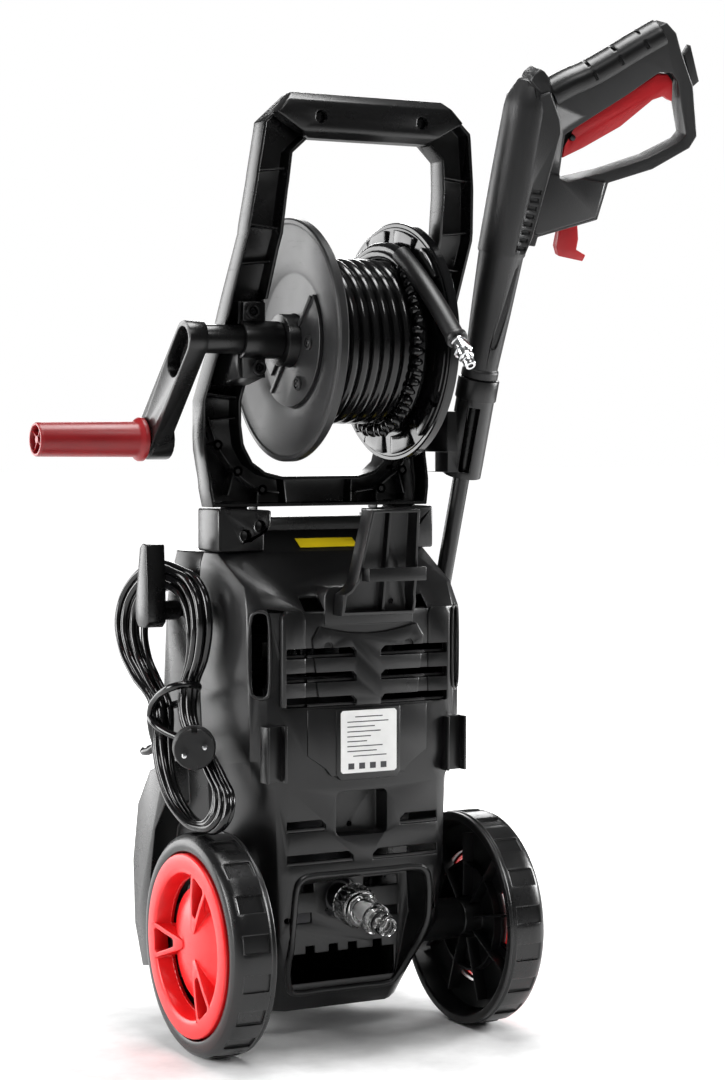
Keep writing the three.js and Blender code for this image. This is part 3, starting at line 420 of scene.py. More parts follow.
def fine_scratches():
    """Faint handling marks, long and thin, as a mask."""
    group, given, put = socketed_group("fine_scratches", [("Scale", 300.0)], ["Mask"])
    place = group.nodes.new("ShaderNodeTexCoord")
    stretch = group.nodes.new("ShaderNodeMapping")
    stretch.inputs["Scale"].default_value = (1, 0.07, 0.9)
    stretch.inputs["Rotation"].default_value = (0.5, 0.2, 0.7)
    marks = noise(group, 300, 3, 0.7)
    sharp = group.nodes.new("ShaderNodeMapRange")
    sharp.inputs["From Min"].default_value = 0.62
    sharp.inputs["From Max"].default_value = 0.7
    wire(group, [
        (place.outputs["Object"], stretch.inputs["Vector"]),
        (stretch.outputs["Vector"], marks.inputs["Vector"]),
        (given.outputs["Scale"], marks.inputs["Scale"]),
        (marks.outputs["Fac"], sharp.inputs["Value"]),
        (sharp.outputs["Result"], put.inputs["Mask"]),
    ])
    return group


def math_node(tree, operation):
    """A math node for one operation."""
    node = tree.nodes.new("ShaderNodeMath")
    node.operation = operation
    return node


def plastic(name, colour, roughness, bump, grain=1800.0, mottle=18.0, gloss_change=0.14, scratch=0.1):
    """A moulded plastic: its colour, how matt it is, and how deep its grain is."""
    material = bpy.data.materials.new(name)
    material.use_nodes = True
    tree = material.node_tree
    shader = tree.nodes["Principled BSDF"]
    grain_node = tree.nodes.new("ShaderNodeGroup")
    grain_node.node_tree = bpy.data.node_groups["moulded_grain"]
    grain_node.inputs["Grain"].default_value = grain
    grain_node.inputs["Mottle"].default_value = mottle
    marks = tree.nodes.new("ShaderNodeGroup")
    marks.node_tree = bpy.data.node_groups["fine_scratches"]
    tint = tree.nodes.new("ShaderNodeMix")
    tint.data_type = "RGBA"
    tint.blend_type = "MULTIPLY"
    tint.inputs["Factor"].default_value = 1
    tint.inputs["A"].default_value = (*colour, 1)
    shift = math_node(tree, "MULTIPLY_ADD")
    shift.inputs[1].default_value = gloss_change
    shift.inputs[2].default_value = roughness
    scratched = math_node(tree, "MULTIPLY_ADD")
    scratched.inputs[1].default_value = scratch
    relief = tree.nodes.new("ShaderNodeBump")
    relief.inputs["Strength"].default_value = bump
    relief.inputs["Distance"].default_value = 0.0002
    wire(tree, [
        (grain_node.outputs["Tone"], tint.inputs["B"]),
        (tint.outputs["Result"], shader.inputs["Base Color"]),
        (grain_node.outputs["Gloss"], shift.inputs[0]),
        (shift.outputs[0], scratched.inputs[2]),
        (marks.outputs["Mask"], scratched.inputs[0]),
        (scratched.outputs[0], shader.inputs["Roughness"]),
        (grain_node.outputs["Height"], relief.inputs["Height"]),
        (relief.outputs["Normal"], shader.inputs["Normal"]),
    ])
    return material


def metal(name, colour, roughness, bump=0.1, grain=500.0):
    """A metal with fine grain and handling marks."""
    material = plastic(name, colour, roughness, bump, grain=grain, gloss_change=0.12, scratch=0.15)
    material.node_tree.nodes["Principled BSDF"].inputs["Metallic"].default_value = 1
    return material


def clear_plastic(name, colour, roughness):
    """A clear moulding with slight flow lines."""
    material = bpy.data.materials.new(name)
    material.use_nodes = True
    tree = material.node_tree
    shader = tree.nodes["Principled BSDF"]
    flow = noise(tree, 90, 2)
    place = tree.nodes.new("ShaderNodeTexCoord")
    relief = tree.nodes.new("ShaderNodeBump")
    relief.inputs["Strength"].default_value = 0.15
    relief.inputs["Distance"].default_value = 0.0004
    wire(tree, [
        (place.outputs["Object"], flow.inputs["Vector"]),
        (flow.outputs["Fac"], relief.inputs["Height"]),
        (relief.outputs["Normal"], shader.inputs["Normal"]),
    ])
    shader.inputs["Base Color"].default_value = (*colour, 1)
    shader.inputs["Roughness"].default_value = roughness
    shader.inputs["Transmission Weight"].default_value = 1.0
    shader.inputs["IOR"].default_value = 1.49
    return material


FINISH = {}


def make_finishes(look):
    """Fills FINISH with this machine's plastics, metals and films."""
    moulded_grain()
    fine_scratches()
    table = (
        # key, name, colour, roughness, bump, grain, mottle, gloss change
        ("body", "moulded_black", look.body_colour, 0.31, 0.35, 1500, 18, 0.18),
        ("satin", "satin_black", look.frame_colour, 0.28, 0.2, 2200, 18, 0.12),
        ("cone", "reel_satin", (0.011, 0.011, 0.0115), 0.38, 0.22, 2000, 24, 0.16),
        ("gloss", "gloss_black", (0.003, 0.003, 0.0033), 0.14, 0.1, 900, 30, 0.08),
        ("hose", "hose_sheath", (0.0028, 0.0028, 0.003), 0.16, 0.25, 700, 60, 0.1),
        ("cord", "cord_sheath", (0.003, 0.003, 0.0033), 0.14, 0.15, 900, 80, 0.14),
        ("rubber", "black_rubber", (0.005, 0.005, 0.0053), 0.42, 0.6, 1200, 18, 0.14),
        ("tyre", "wheel_black", (0.0045, 0.0045, 0.0048), 0.3, 0.35, 1400, 12, 0.22),
        ("red", "cover_red", look.cover_colour, 0.3, 0.22, 1600, 18, 0.1),
        ("gun_red", "trigger_red", (0.5, 0.008, 0.013), 0.4, 0.55, 1300, 18, 0.14),
        ("grip_red", "grip_red", look.grip_colour, 0.36, 0.3, 1300, 26, 0.2),
        ("gun", "gun_black", (0.0125, 0.0125, 0.013), 0.4, 0.7, 1300, 18, 0.16),
        ("grip_black", "soft_grip_black", (0.0035, 0.0035, 0.0038), 0.32, 0.3, 1500, 18, 0.1),
        ("paper", "label_film", (0.86, 0.86, 0.85), 0.35, 0.05, 600, 18, 0.05),
        ("ink", "label_ink", (0.05, 0.05, 0.055), 0.5, 0.05, 1800, 18, 0.14),
        ("yellow", "yellow_film", (0.88, 0.66, 0.01), 0.35, 0.05, 1800, 18, 0.14),
    )
    for key, *values in table:
        FINISH[key] = plastic(*values)
    FINISH["steel"] = metal("plated_steel", (0.66, 0.67, 0.68), 0.2, 0.03)
    FINISH["dark_steel"] = metal("blackened_steel", (0.05, 0.05, 0.052), 0.3)
    # The alloy's colour is made very dark to paint the shade inside the machine, where the motor and pump
    # show through the cover's slots; the reel's swivel shares it.
    FINISH["alloy"] = metal("alloy_darkened_as_shade", (0.12, 0.12, 0.125), 0.5, 0.5, 300)
    FINISH["copper"] = metal("varnished_copper", (0.45, 0.2, 0.08), 0.35)
    FINISH["clear"] = clear_plastic("clear_plastic", (1.0, 1.0, 1.0), 0.02)


class WasherLook(bpy.types.PropertyGroup):
    """Sizes and colours that a user would change"""
    hose_diameter: FloatProperty(name="Hose diameter", description="Outside diameter of the wound hose",
                                 default=0.011, subtype="DISTANCE")
    cord_diameter: FloatProperty(name="Cord diameter", description="Outside diameter of the power cord",
                                 default=0.007, subtype="DISTANCE")
    notch_depth: FloatProperty(name="Tread notch depth",
                               description="Depth of the notches across each wheel's tread", default=0.0022,
                               subtype="DISTANCE")
    body_colour: FloatVectorProperty(name="Body colour", description="Colour of the moulded covers",
                                     default=(0.0045, 0.0045, 0.0048), subtype="COLOR")
    frame_colour: FloatVectorProperty(name="Frame colour",
                                      description="Colour of the handle frame and reel",
                                      default=(0.0028, 0.0028, 0.003), subtype="COLOR")
    cover_colour: FloatVectorProperty(
        name="Wheel cover colour", description="Colour of the wheel covers", default=(0.74, 0.008, 0.01),
        subtype="COLOR")
    grip_colour: FloatVectorProperty(
        name="Crank grip colour", description="Colour of the crank's grip", default=(0.26, 0.006, 0.009),
        subtype="COLOR")


# ---------------------------------------------------------------- camera, light and floor
class StageOperator(bpy.types.Operator):
    """Floor, backdrop, soft lights and the camera"""
    bl_idname = "washer.stage"
    bl_label = "Stage"

    def floor_paper(self):
        """White paper that brightens to plain white away from the machine"""
        material = plastic("stage_paper", (0.86, 0.86, 0.86), 0.8, 0.02, gloss_change=0.02, scratch=0)
        tree = material.node_tree
        shader = tree.nodes["Principled BSDF"]
        place = tree.nodes.new("ShaderNodeTexCoord")
        reach = tree.nodes.new("ShaderNodeVectorMath")
        reach.operation = "LENGTH"
        fade = tree.nodes.new("ShaderNodeMapRange")
        fade.inputs["From Min"].default_value = 0.35
        fade.inputs["From Max"].default_value = 1.5
        fade.interpolation_type = "SMOOTHSTEP"
        seen = tree.nodes.new("ShaderNodeLightPath")
        both = math_node(tree, "MULTIPLY")
        wire(tree, [
            (place.outputs["Object"], reach.inputs[0]),
            (reach.outputs["Value"], fade.inputs["Value"]),
            (fade.outputs["Result"], both.inputs[0]),
            (seen.outputs["Is Camera Ray"], both.inputs[1]),
            (both.outputs[0], shader.inputs["Emission Strength"]),
        ])
        shader.inputs["Emission Color"].default_value = (1, 1, 1, 1)
        return material

    def execute(self, context):
        self.floor()
        self.backdrop(context.scene)
        self.lamps(context.scene)
        self.camera(context.scene)
        context.scene.view_settings.view_transform = "Standard"
        return {"FINISHED"}

    def floor(self):
        bpy.ops.object.select_all(action="DESELECT")
        bpy.ops.mesh.primitive_plane_add(size=1)
        floor = started("stage_floor")
        edit(floor)
        bpy.ops.transform.resize(value=(FLOOR_SPAN, FLOOR_SPAN, 1), center_override=(0, 0, 0))
        leave()
        floor.data.materials.append(self.floor_paper())

    def backdrop(self, scene):
        """A white backdrop that lights the machine only softly"""
        world = bpy.data.worlds.new("studio")
        world.use_nodes = True
        tree = world.node_tree
        background = tree.nodes["Background"]
        background.inputs["Color"].default_value = (1, 1, 1, 1)
        seen = tree.nodes.new("ShaderNodeLightPath")
        strength = remap(tree, SOFT_LIGHT, 1.0)
        wire(tree, [
            (seen.outputs["Is Camera Ray"], strength.inputs["Value"]),
            (strength.outputs["Result"], background.inputs["Strength"]),
        ])
        scene.world = world

    def lamps(self, scene):
        """Square soft lamps aimed at the machine's middle"""
        low, high = frame_box
        middle = Vector(((low[0] + high[0]) / 2, (low[1] + high[1]) / 2, LAMP_AIM_Z))
        for name, place, size, power in LAMPS:
            light = bpy.data.lights.new(name, "AREA")
            light.size = size
            light.energy = power
            lamp = bpy.data.objects.new(name, light)
            lamp.location = place
            lamp.rotation_euler = (middle - Vector(place)).to_track_quat("-Z", "Y").to_euler()
            scene.collection.objects.link(lamp)

    def camera(self, scene):
        """A long lens from behind and to the left"""
        camera_data = bpy.data.cameras.new("camera")
        camera_data.sensor_fit = "VERTICAL"
        camera_data.sensor_height = CAMERA_SENSOR
        camera_data.lens = CAMERA_LENS
        camera = bpy.data.objects.new("camera", camera_data)
        camera.location = at(*CAMERA_PLACE)
        camera.rotation_euler = Euler((math.radians(90 - CAMERA_DIP), 0, math.radians(CAMERA_TURN)))
        scene.collection.objects.link(camera)
        scene.camera = camera


# ---------------------------------------------------------------- hose and power cord
def cord_curve(name, points, diameter, resolution=3):
    """A round cord along one open smooth spline."""
    curve = bpy.data.curves.new(name, "CURVE")
    curve.dimensions = "3D"
    curve.bevel_depth = diameter / 2
    curve.bevel_resolution = 4
    curve.use_fill_caps = True
    curve.resolution_u = resolution
    spline = curve.splines.new("BEZIER")
    spline.bezier_points.add(len(points) - 1)
    for knot, point in zip(spline.bezier_points, points):
        knot.co = at(*point)
        knot.handle_left_type = "AUTO"
        knot.handle_right_type = "AUTO"
    piece = bpy.data.objects.new(name, curve)
    bpy.context.scene.collection.objects.link(piece)
    return piece


def meshed(piece, name):
    """The curve as a mesh."""
    pick(piece)
    bpy.ops.object.convert(target="MESH")
    return started(name)


HOSE_TURNS = 7
HOSE_STEPS = 16                  # points in one turn
HOSE_LAYERS = (58.7, 69.6, 80.2)  # radius of the inner layer, the outer layer and the last two turns
HOSE_SPAN = (-37.6, 37.8)
HOSE_LEAVES_AT = 118.3
HOSE_LEAVING_R = 87.3
HOSE_END = ((38.4, -64, 697), (39, -98, 669), (39.8, -128, 641))


def wound_hose_route():
    """Two layers across the drum, two last turns by the right flange, then out through the sleeve."""
    inner_r, outer_r, last_r = HOSE_LAYERS
    left, right = HOSE_SPAN
    layer = 360 * HOSE_TURNS
    start = HOSE_LEAVES_AT - 2 * layer - 720
    steps = HOSE_STEPS * HOSE_TURNS
    points = []
    for i in range(steps + 1):
        share = i / steps
        points.append((right + (left - right) * share, inner_r, start + layer * share))
    for i in range(3, steps + 1):
        share = i / steps
        points.append((left + (right - 1.0 - left) * share, outer_r, start + layer + layer * share))
    for i in range(4, HOSE_STEPS * 2 + 1):
        share = i / (HOSE_STEPS * 2)
        rise = min(1, max(0, (i - 4) / 8))
        radius = outer_r + (last_r - outer_r) * rise
        if share > 0.86:
            radius += (HOSE_LEAVING_R - last_r) * (share - 0.86) / 0.14
        points.append((right - 1.0 + 1.2 * share, radius, start + 2 * layer + 720 * share))
    route = []
    for x, radius, angle in points:
        turn = math.radians(angle)
        route.append((x, REEL[0] + radius * math.cos(turn), REEL[1] + radius * math.sin(turn)))
    return route + list(HOSE_END)


# Along and radius, from the sleeve to the open tip.
CONNECTOR = ((0.2, 5), (0.2, 7), (4.4, 7.2), (5.2, 6.2), (6.4, 6.2), (7, 7.2), (10.6, 7.2), (11.2, 8.1),
             (15.4, 8.1), (16, 6.2), (20, 5.6), (20.8, 6.8), (22.6, 6.8), (23.4, 5.2), (26, 5.2),
             (26.6, 4.4), (28, 4.4), (28.6, 5.3), (32, 5.1), (33, 4.4), (33, 2.4), (26, 2.4))


class CordsOperator(bpy.types.Operator):
    """The wound high-pressure hose and the hung power cord, with their ends"""
    bl_idname = "washer.cords"
    bl_label = "Hose and cord"

    def execute(self, context):
        look = context.scene.washer_look
        self.hose(look)
        self.power_cord(look)
        return {"FINISHED"}

    def hose(self, look):
        """The wound hose, the rubber sleeve on its free end and the stepped quick connector"""
        route = wound_hose_route()
        hose = cord_curve("pressure_hose", route, look.hose_diameter)
        finish(hose, "machine", "gloss", FINISH["hose"], "hose_coil")
        sleeve_path = ((38, -38, 715), (38.4, -64, 697), (39, -98, 669), (40, -133, 636))
        sleeve = meshed(cord_curve("hose_sleeve", sleeve_path, 0.0176, 8), "hose_sleeve")
        smooth(sleeve, 60)
        down = Vector((0.4, -23.5, -24.5)).normalized()
        tip = Matrix.Translation(at(40, -132.6, 636.4)) @ down.to_track_quat("Z", "Y").to_matrix().to_4x4()
        profile = ((-4, 8.2), (-4, 9.2), (-3, 9.8), (0, 9.8), (1.2, 9.2), (1.2, 7.2), (-4, 7.2))
        lip = turned("hose_sleeve_lip", profile, steps=40, place=tip)
        sleeve = joined("hose_sleeve", [sleeve, lip])
        finish(sleeve, "machine", "rubber", FINISH["rubber"], "hose_boot")
        connector = turned("hose_connector_fitting", CONNECTOR, steps=40, place=tip)
        profile = ((11.4, 4), (11.2, 8.0), (12, 8.6), (14.8, 8.6), (15.6, 8.0), (15.4, 4))
        hexagon = turned("hose_connector_nut", profile, steps=6, place=tip)
        connector = joined("hose_connector_fitting", [connector, hexagon])
        finish(connector, "machine", "steel", FINISH["steel"], "hose_connector")

    def power_cord(self, look):
        """The hank on its hook, from the gland to the plug"""
        route = power_cord_route()
        cord = cord_curve("power_cord", route, look.cord_diameter, 6)
        finish(cord, "machine", "gloss", FINISH["cord"], "cord_hank", "power_cord_lead")
        plug = self.plug()

    def plug(self):
        """A round two-pin plug with a rim round its face and two earth notches"""
        facing = Matrix.Translation(at(*PLUG)) @ Matrix.Rotation(math.radians(-24), 4, "Z")
        facing = facing @ Matrix.Rotation(math.radians(90), 4, "X")
        profile = [(-2, 10), (-1.4, 14.5), (3.4, 18.4), (8, 19.4), (10.5, 19.4), (11.4, 18.6), (12.2, 18.6),
                   (13, 19.3), (22, 18.9), (27.2, 18.3), (28.3, 17.4), (28.3, 2)]
        shell = turned("plug_shell", profile, steps=56, place=facing)
        for y in (-17.8, 17.8):
            carve(shell, block("plug_notch", (-2.6, y - 3.6, 21), (2.6, y + 3.6, 33), 0.4, facing))
        smooth(shell)
        pins = []
        profile = [(20, 2.35), (45.4, 2.35), (46.6, 1.8), (46.8, 1)]
        face = facing @ Matrix.Rotation(math.radians(22), 4, "Z")
        for side in (-1, 1):
            spot = face @ Matrix.Translation((side * 9.5 * MM, 0, 0))
            pins.append(turned("plug_pin", profile, steps=20, place=spot))
        plug = joined("plug_body", [shell])
        finish(plug, "machine", "rubber", FINISH["rubber"], "power_plug")
        pin = joined("plug_pins", pins)
        finish(pin, "machine", "steel", FINISH["steel"])
        return plug


# The hank's loops, the turn round its waist up to the plug, and the lead from the gland.
OUTER_LOOP = ((-149, 78, 306), (-152, 118, 332), (-152, 150, 358), (-151, 160, 388), (-145, 144, 418),
              (-137, 108, 434), (-131, 66, 431), (-128.5, 32, 420), (-128, 16, 394), (-128, 22, 358),
              (-131, 38, 326), (-133, 34, 296), (-129, 6, 268), (-129, -22, 248), (-132, -43, 231),
              (-138, -40, 211), (-143, -12, 204.6), (-147, 24, 212), (-149, 58, 236), (-148, 78, 268))
INNER_LOOP = ((-143, 69, 306), (-145, 92, 330), (-145, 114, 350), (-144, 124, 376), (-140, 118, 400),
              (-135, 102, 411), (-131, 82, 411), (-128.5, 62, 399), (-128, 52, 376), (-128, 52, 350),
              (-132, 55, 322), (-134, 48, 298), (-130, 28, 274), (-130, 6, 254), (-132, -12, 238),
              (-137, -15, 219), (-142, 2, 208.6), (-145.5, 28, 219), (-147, 50, 242), (-145, 65, 272))
WAIST = ((-153, 72, 264), (-157, 79, 286), (-159.7, 74, 304), (-160, 59, 316.6), (-159.7, 44, 323.3),
         (-156.6, 35.3, 327.1), (-148.6, 30, 329.4), (-138.8, 30, 329.4), (-130.8, 35.3, 327.1),
         (-127.7, 44, 323.3), (-127.4, 58, 317), (-127.7, 73, 310), (-130.8, 81.7, 306.5),
         (-138.8, 87.3, 303.6), (-148.6, 87.3, 300.6), (-156.6, 81.7, 297.6), (-160, 72, 294),
         (-159, 60.5, 289.5), (-154.5, 50, 285), (-149, 40, 281.5), (-145.5, 30, 279), (-144, 21, 277.6),
         (-144.4, 16, 277))
CORD_LEAD = ((-130.8, 126, 262), (-137.6, 124.8, 261.6), (-144, 121.3, 261), (-149, 115.4, 260.4),
             (-151.4, 107.6, 260.6), (-150.6, 98, 262.6), (-148.6, 89, 268.5), (-148, 82.6, 279))
# Where each lap lies: from 0 on the outer loop to 1 on the inner one, and how far out from the cover.
INWARD_OF_LAP = (0.33, 0.66, 1.0, 0.83, 0.5, 0.16, 0.0)
OUTWARD_OF_LAP = (0, 0, 0, 7.6, 7.6, 7.6, 1)
COVER_SIDE_X = -127.8


def power_cord_route():
    """From the gland up into the hank, round its loops, once round its waist and out to the plug."""
    laps, steps = len(INWARD_OF_LAP), len(OUTER_LOOP)
    points = list(CORD_LEAD)
    for i in range(laps * steps - 1):
        lap, step = divmod(i, steps)
        ahead = (lap + 1) % laps
        share = (step / steps) ** 2
        inward = INWARD_OF_LAP[lap] + (INWARD_OF_LAP[ahead] - INWARD_OF_LAP[lap]) * share
        outward = OUTWARD_OF_LAP[lap] + (OUTWARD_OF_LAP[ahead] - OUTWARD_OF_LAP[lap]) * share
        bulge = 0.9 * math.sin(2.1 * lap + 0.9 * step) - outward
        x, y, z = (a + (b - a) * inward for a, b in zip(OUTER_LOOP[step], INNER_LOOP[step]))
        points.append((min(COVER_SIDE_X, x + bulge), y, z))
    return points + list(WAIST)


# ---------------------------------------------------------------- wheels
# Profiles hold the distance out along the axle and the radius, arms the distance up and across.
WHEEL_PROFILE = ((118.3, 92), (118, 95), (118, 98), (118.8, 99), (120.6, 99.2), (121.4, 98.6),
                 (122.6, 98.6), (123.6, 99.8), (142, 100), (148.6, 99.6), (153.4, 97.6), (156.8, 94),
                 (158, 90), (158, 86), (157.2, 83.8), (155.6, 83.2), (151, 83.2), (149.4, 81), (142.6, 60),
                 (142, 52), (142, 19), (150.5, 18), (150.5, 6.5), (118.8, 6.5), (118.8, 15.6), (120, 17),
                 (137.2, 19), (137.4, 52), (137.4, 78), (135, 86), (121, 90.5), (119.2, 91))
COVER_PROFILE = ((155.8, 3), (155.5, 12), (154.2, 24), (151.6, 36), (148.0, 46), (146.4, 50.6), (146.2, 56),
                 (147.2, 60.6), (151, 62.4), (156.6, 64), (159.4, 65.2), (160.5, 67), (160.9, 70),
                 (160.8, 78.4), (160.2, 80.8), (159, 81.9), (151.8, 82), (151.8, 67), (146, 64.5),
                 (143.6, 60), (143, 50), (147.6, 34), (151.4, 22), (152.4, 12), (152.6, 3))
ARM = ((14, 2.2), (17, 4.4), (66, 16.2), (71, 16.4), (71, -16.4), (66, -16.2), (17, -4.4), (14, -2.2))
ARM_SLOPE = ((155.8, 8), (157.6, 24), (159.8, 48), (160.7, 66), (160.8, 80), (172, 80), (172, 8))
ARM_WELL = ((31, 2.4), (33, 4), (63.5, 11.4), (66.4, 9), (66.4, -9), (63.5, -11.4), (33, -4), (31, -2.4))


class WheelsOperator(bpy.types.Operator):
    """Both wheels with notched treads, and their covers with three arms"""
    bl_idname = "washer.wheels"
    bl_label = "Wheels"

    def execute(self, context):
        look = context.scene.washer_look
        for side, word in SIDES:
            self.wheel(side, word, look.notch_depth / MM)
            self.cover(side, word)
        return {"FINISHED"}

    def wheel(self, side, word, depth):
        """A moulded wheel with a notched tread, windows in its web, ribs and a hoop"""
        rim = turned("wheel_rim", [(side * a, r) for a, r in WHEEL_PROFILE], WHEEL, steps=120, ring=True)
        outline = band(WHEEL_R - depth, WHEEL_R + 4, 85.4, 94.6, 6, (0, WHEEL_R))
        notch = plate("tread_notch", outline, (side * 125.2, side * 149.5), "YZ", 0)
        self.flare(notch, side)
        tools = spun(notch, 18, WHEEL)
        carve(rim, joined("tread_notches", tools))
        for angle in COVER_ARMS:
            outline = band(62, 54, angle + 34, angle + 86, 10, (0, WHEEL_R))
            carve(rim, plate("web_window", outline, (side * 132, side * 152), "YZ", 0))
        bevelled(rim, 0.5, 2, 26)
        rib = block("wheel_rib", (side * 126.4, -0.9, WHEEL_R + 20), (side * 137.6, 0.9, WHEEL_R + 79), 0.3)
        ribs = spun(rib, 9, WHEEL)
        profile = ((side * 130, 49), (side * 130, 51), (side * 137.6, 51), (side * 137.6, 49))
        hoop = turned("wheel_hoop", profile, WHEEL, steps=72, ring=True)
        wheel = joined(f"wheel_{word}_moulded", [rim, hoop] + ribs)
        finish(wheel, f"wheel_{word}", "tyre", FINISH["tyre"], f"wheel_{word}")

    def flare(self, notch, side):
        """Draws the notch's outer end outwards above the tread"""
        edit(notch)
        shape = bmesh.from_edit_mesh(notch.data)
        for vert in shape.verts:
            if vert.co.z > 2 * WHEEL_R * MM and abs(vert.co.x) > 140 * MM:
                vert.co.x += side * 6 * MM
        bmesh.update_edit_mesh(notch.data)
        leave()

    def cover(self, side, word):
        """A dished cover with three raised arms, a well in each arm and an arc window between them"""
        profile = [(side * a, r) for a, r in COVER_PROFILE]
        cover = turned(f"wheel_cover_{word}_moulded", profile, WHEEL, steps=120)
        cutters = []
        for angle in COVER_ARMS:
            outline = band(60.6, 51.6, angle + 14, angle + 106, 16, (0, WHEEL_R))
            cutters.append(plate("arc_window", outline, (side * 132, side * 170), "YZ", 0))
        carve(cover, *cutters)
        wells = []
        for angle in COVER_ARMS:
            turn = tilted(WHEEL, angle)
            arm = plate("cover_arm", ARM, (side * 147, side * 164), "YZ", 0, turn)
            slope = plate("arm_slope", [(side * a, r) for a, r in ARM_SLOPE], (-30, 30), "XY", 0, turn)
            wells.append((turn, arm, slope))
        bpy.context.view_layer.update()
        for turn, arm, slope in wells:
            carve(arm, slope)
            fuse(cover, arm)
        for turn, arm, slope in wells:
            carve(cover, plate("arm_well", ARM_WELL, (side * 140, side * 172), "YZ", 0, turn))
        bevelled(cover, 0.5, 2, 34)
        finish(cover, f"wheel_{word}", "red", FINISH["red"], f"wheel_cover_{word}")


# ---------------------------------------------------------------- hose reel and crank
FLANGE_BOSS = ((-54, 6.6), (-56.2, 6.4), (-56.8, 5.8), (-56.8, 4.6), (-55, 4.4), (-55, 3.4), (-56.4, 3.2),
               (-56.8, 2.6), (-56.8, 1.6), (-55.6, 1.4))


class ReelOperator(bpy.types.Operator):
    """The reel's flanges, the crank's grip, the hose's wrapping and the bearing caps' screws"""
    bl_idname = "washer.reel"
    bl_label = "Hose reel"

    def execute(self, context):
        centre = (0, *REEL)
        self.left_flange(centre)
        self.right_flange(centre)
        self.grip()
        self.wrapping()
        self.cap_screws()
        return {"FINISHED"}

    def left_flange(self, centre):
        """The cone with a raised half disc, a wedge and two screw bosses on its face"""
        profile = [(-60, 104.6), (-60, 107.6), (-58.8, 109), (-52.4, 109), (-51, 107.8), (-50.9, 105),
                   (-49.8, 92), (-47.4, 67), (-44.9, 60), (-44.6, 56), (-44.6, 24.4), (-50, 24.4),
                   (-50.3, 58.6), (-51, 60.8), (-52.6, 64), (-54.4, 74), (-57.4, 94), (-58.4, 102.4),
                   (-59.2, 104)]
        dish = turned("flange_dish", profile, centre, steps=128, ring=True)
        tilt = tilted(centre, 223)
        half = plate("flange_half", arc(59.6, -84, 84, 28), (-54.4, -50.1), "YZ", 0, tilt)
        bore = turned("flange_bore", [(-62, 24.3), (-40, 24.3)], centre, steps=48)
        carve(half, bore)
        bevelled(half, 0.5)
        outline = [(5, -57), (5, 57), (8.4, 57), (8.4, -57)]
        edge = plate("flange_edge", outline, (-56.4, -53.6), "YZ", 0.4, tilt)
        carve(edge, turned("flange_bore", [(-62, 25), (-40, 25)], centre, steps=48))
        outline = [(-8, 12), (-8, 50), (-26, 49), (-34, 34), (-22, 18)]
        wedge = plate("flange_wedge", outline, (-53, -50.1), "YZ", 0.6, tilt)
        screws = []
        for angle, reach in ((185, 39), (245, 43)):
            spot = (0, *arc(reach, angle, angle, 1, REEL)[0])
            screws.append(turned("flange_boss", FLANGE_BOSS, spot, steps=32))
        flange = joined("reel_flange_left_moulded", [dish, half, edge, wedge] + screws)
        smooth(flange)
        finish(flange, "reel", "satin", FINISH["cone"], "reel_flange_left")

    def right_flange(self, centre):
        """The far flange, with a ring of raised cells inside its rim"""
        profile = [(59.9, 104.4), (60, 107.8), (59, 109), (52.4, 109), (51.2, 107.8), (51.2, 105.2),
                   (50.4, 104.2), (47, 66), (44.8, 59), (44.6, 24.4), (50.3, 24.4), (50.5, 59.6), (54, 70),
                   (58.4, 103.4)]
        dish = turned("flange_dish_right", profile, centre, steps=128, ring=True)
        sectors = []
        for first in range(6, 366, 30):
            outline = band(102.6, 86, first, first + 21, 8, REEL)
            sectors.append(plate("flange_sector", outline, (47.2, 50.8), "YZ", 0.7))
        flange = joined("reel_flange_right_moulded", [dish] + sectors)
        smooth(flange)
        finish(flange, "reel", "gloss", FINISH["gloss"], "reel_flange_right")

    def grip(self):
        """The crank's hollow grip, with a collar, a hub and crossed webs in its open end"""
        start = CRANK_X - 9.6
        end = start - 104
        profile = [(start, 7), (start, 19.2), (start - 0.8, 20), (start - 3.8, 20), (start - 5.2, 19.2),
                   (start - 7, 17.2), (start - 9.4, 16.1), (end + 3, 15.4), (end + 1, 15.2), (end, 14.6),
                   (end, 13), (end + 0.8, 12.6), (end + 78, 12), (end + 78.2, 7)]
        centre = (0, *CRANK_END)
        shell = turned("grip_shell", profile, centre, steps=64, ring=True)
        webs = []
        for angle in (35, 125):
            outline = ((-12.8, -0.7), (-12.8, 0.7), (12.8, 0.7), (12.8, -0.7))
            webs.append(plate("grip_web", outline, (end + 2, end + 60), "YZ", 0.2, tilted(centre, angle)))
        hub = turned("grip_hub", [(end + 1.4, 3.4), (end + 60, 3.4)], centre, steps=24)
        grip = joined("crank_grip_moulded", [shell, hub] + webs)
        smooth(grip)
        finish(grip, "crank_grip", "dark_red", FINISH["grip_red"], "crank_grip")

    def wrapping(self):
        """The last turn's crumpled wrapping, as a ring of small twisted lumps by the right flange"""
        bpy.ops.object.select_all(action="DESELECT")
        bpy.ops.mesh.primitive_uv_sphere_add(segments=12, ring_count=8, radius=0.005)
        lump = started("wrapping_lump")
        edit(lump)
        bpy.ops.transform.resize(value=(1.0, 1.28, 0.86))
        bpy.ops.transform.rotate(value=0.55, orient_axis="Z", center_override=(0, 0, 0))
        leave()
        parts = []
        for index in range(46):
            pick(lump)
            bpy.ops.object.duplicate()
            twin = bpy.context.object
            angle = 128 + index * 6.6
            y, z = arc(81.4 + 0.9 * math.sin(index * 2.3), angle, angle, 1, REEL)[0]
            twin.location = at(33.4 + 1.1 * math.sin(index * 1.3), y, z)
            twin.rotation_euler = (math.radians(angle), 0.35 * math.sin(index * 1.9),
                                   0.5 if index % 2 else -0.5)
            settle(twin)
            parts.append(twin)
        bpy.data.objects.remove(lump)
        lumps = joined("hose_wrapping", parts)
        smooth(lumps, 60)
        finish(lumps, "machine", "gloss", FINISH["gloss"])

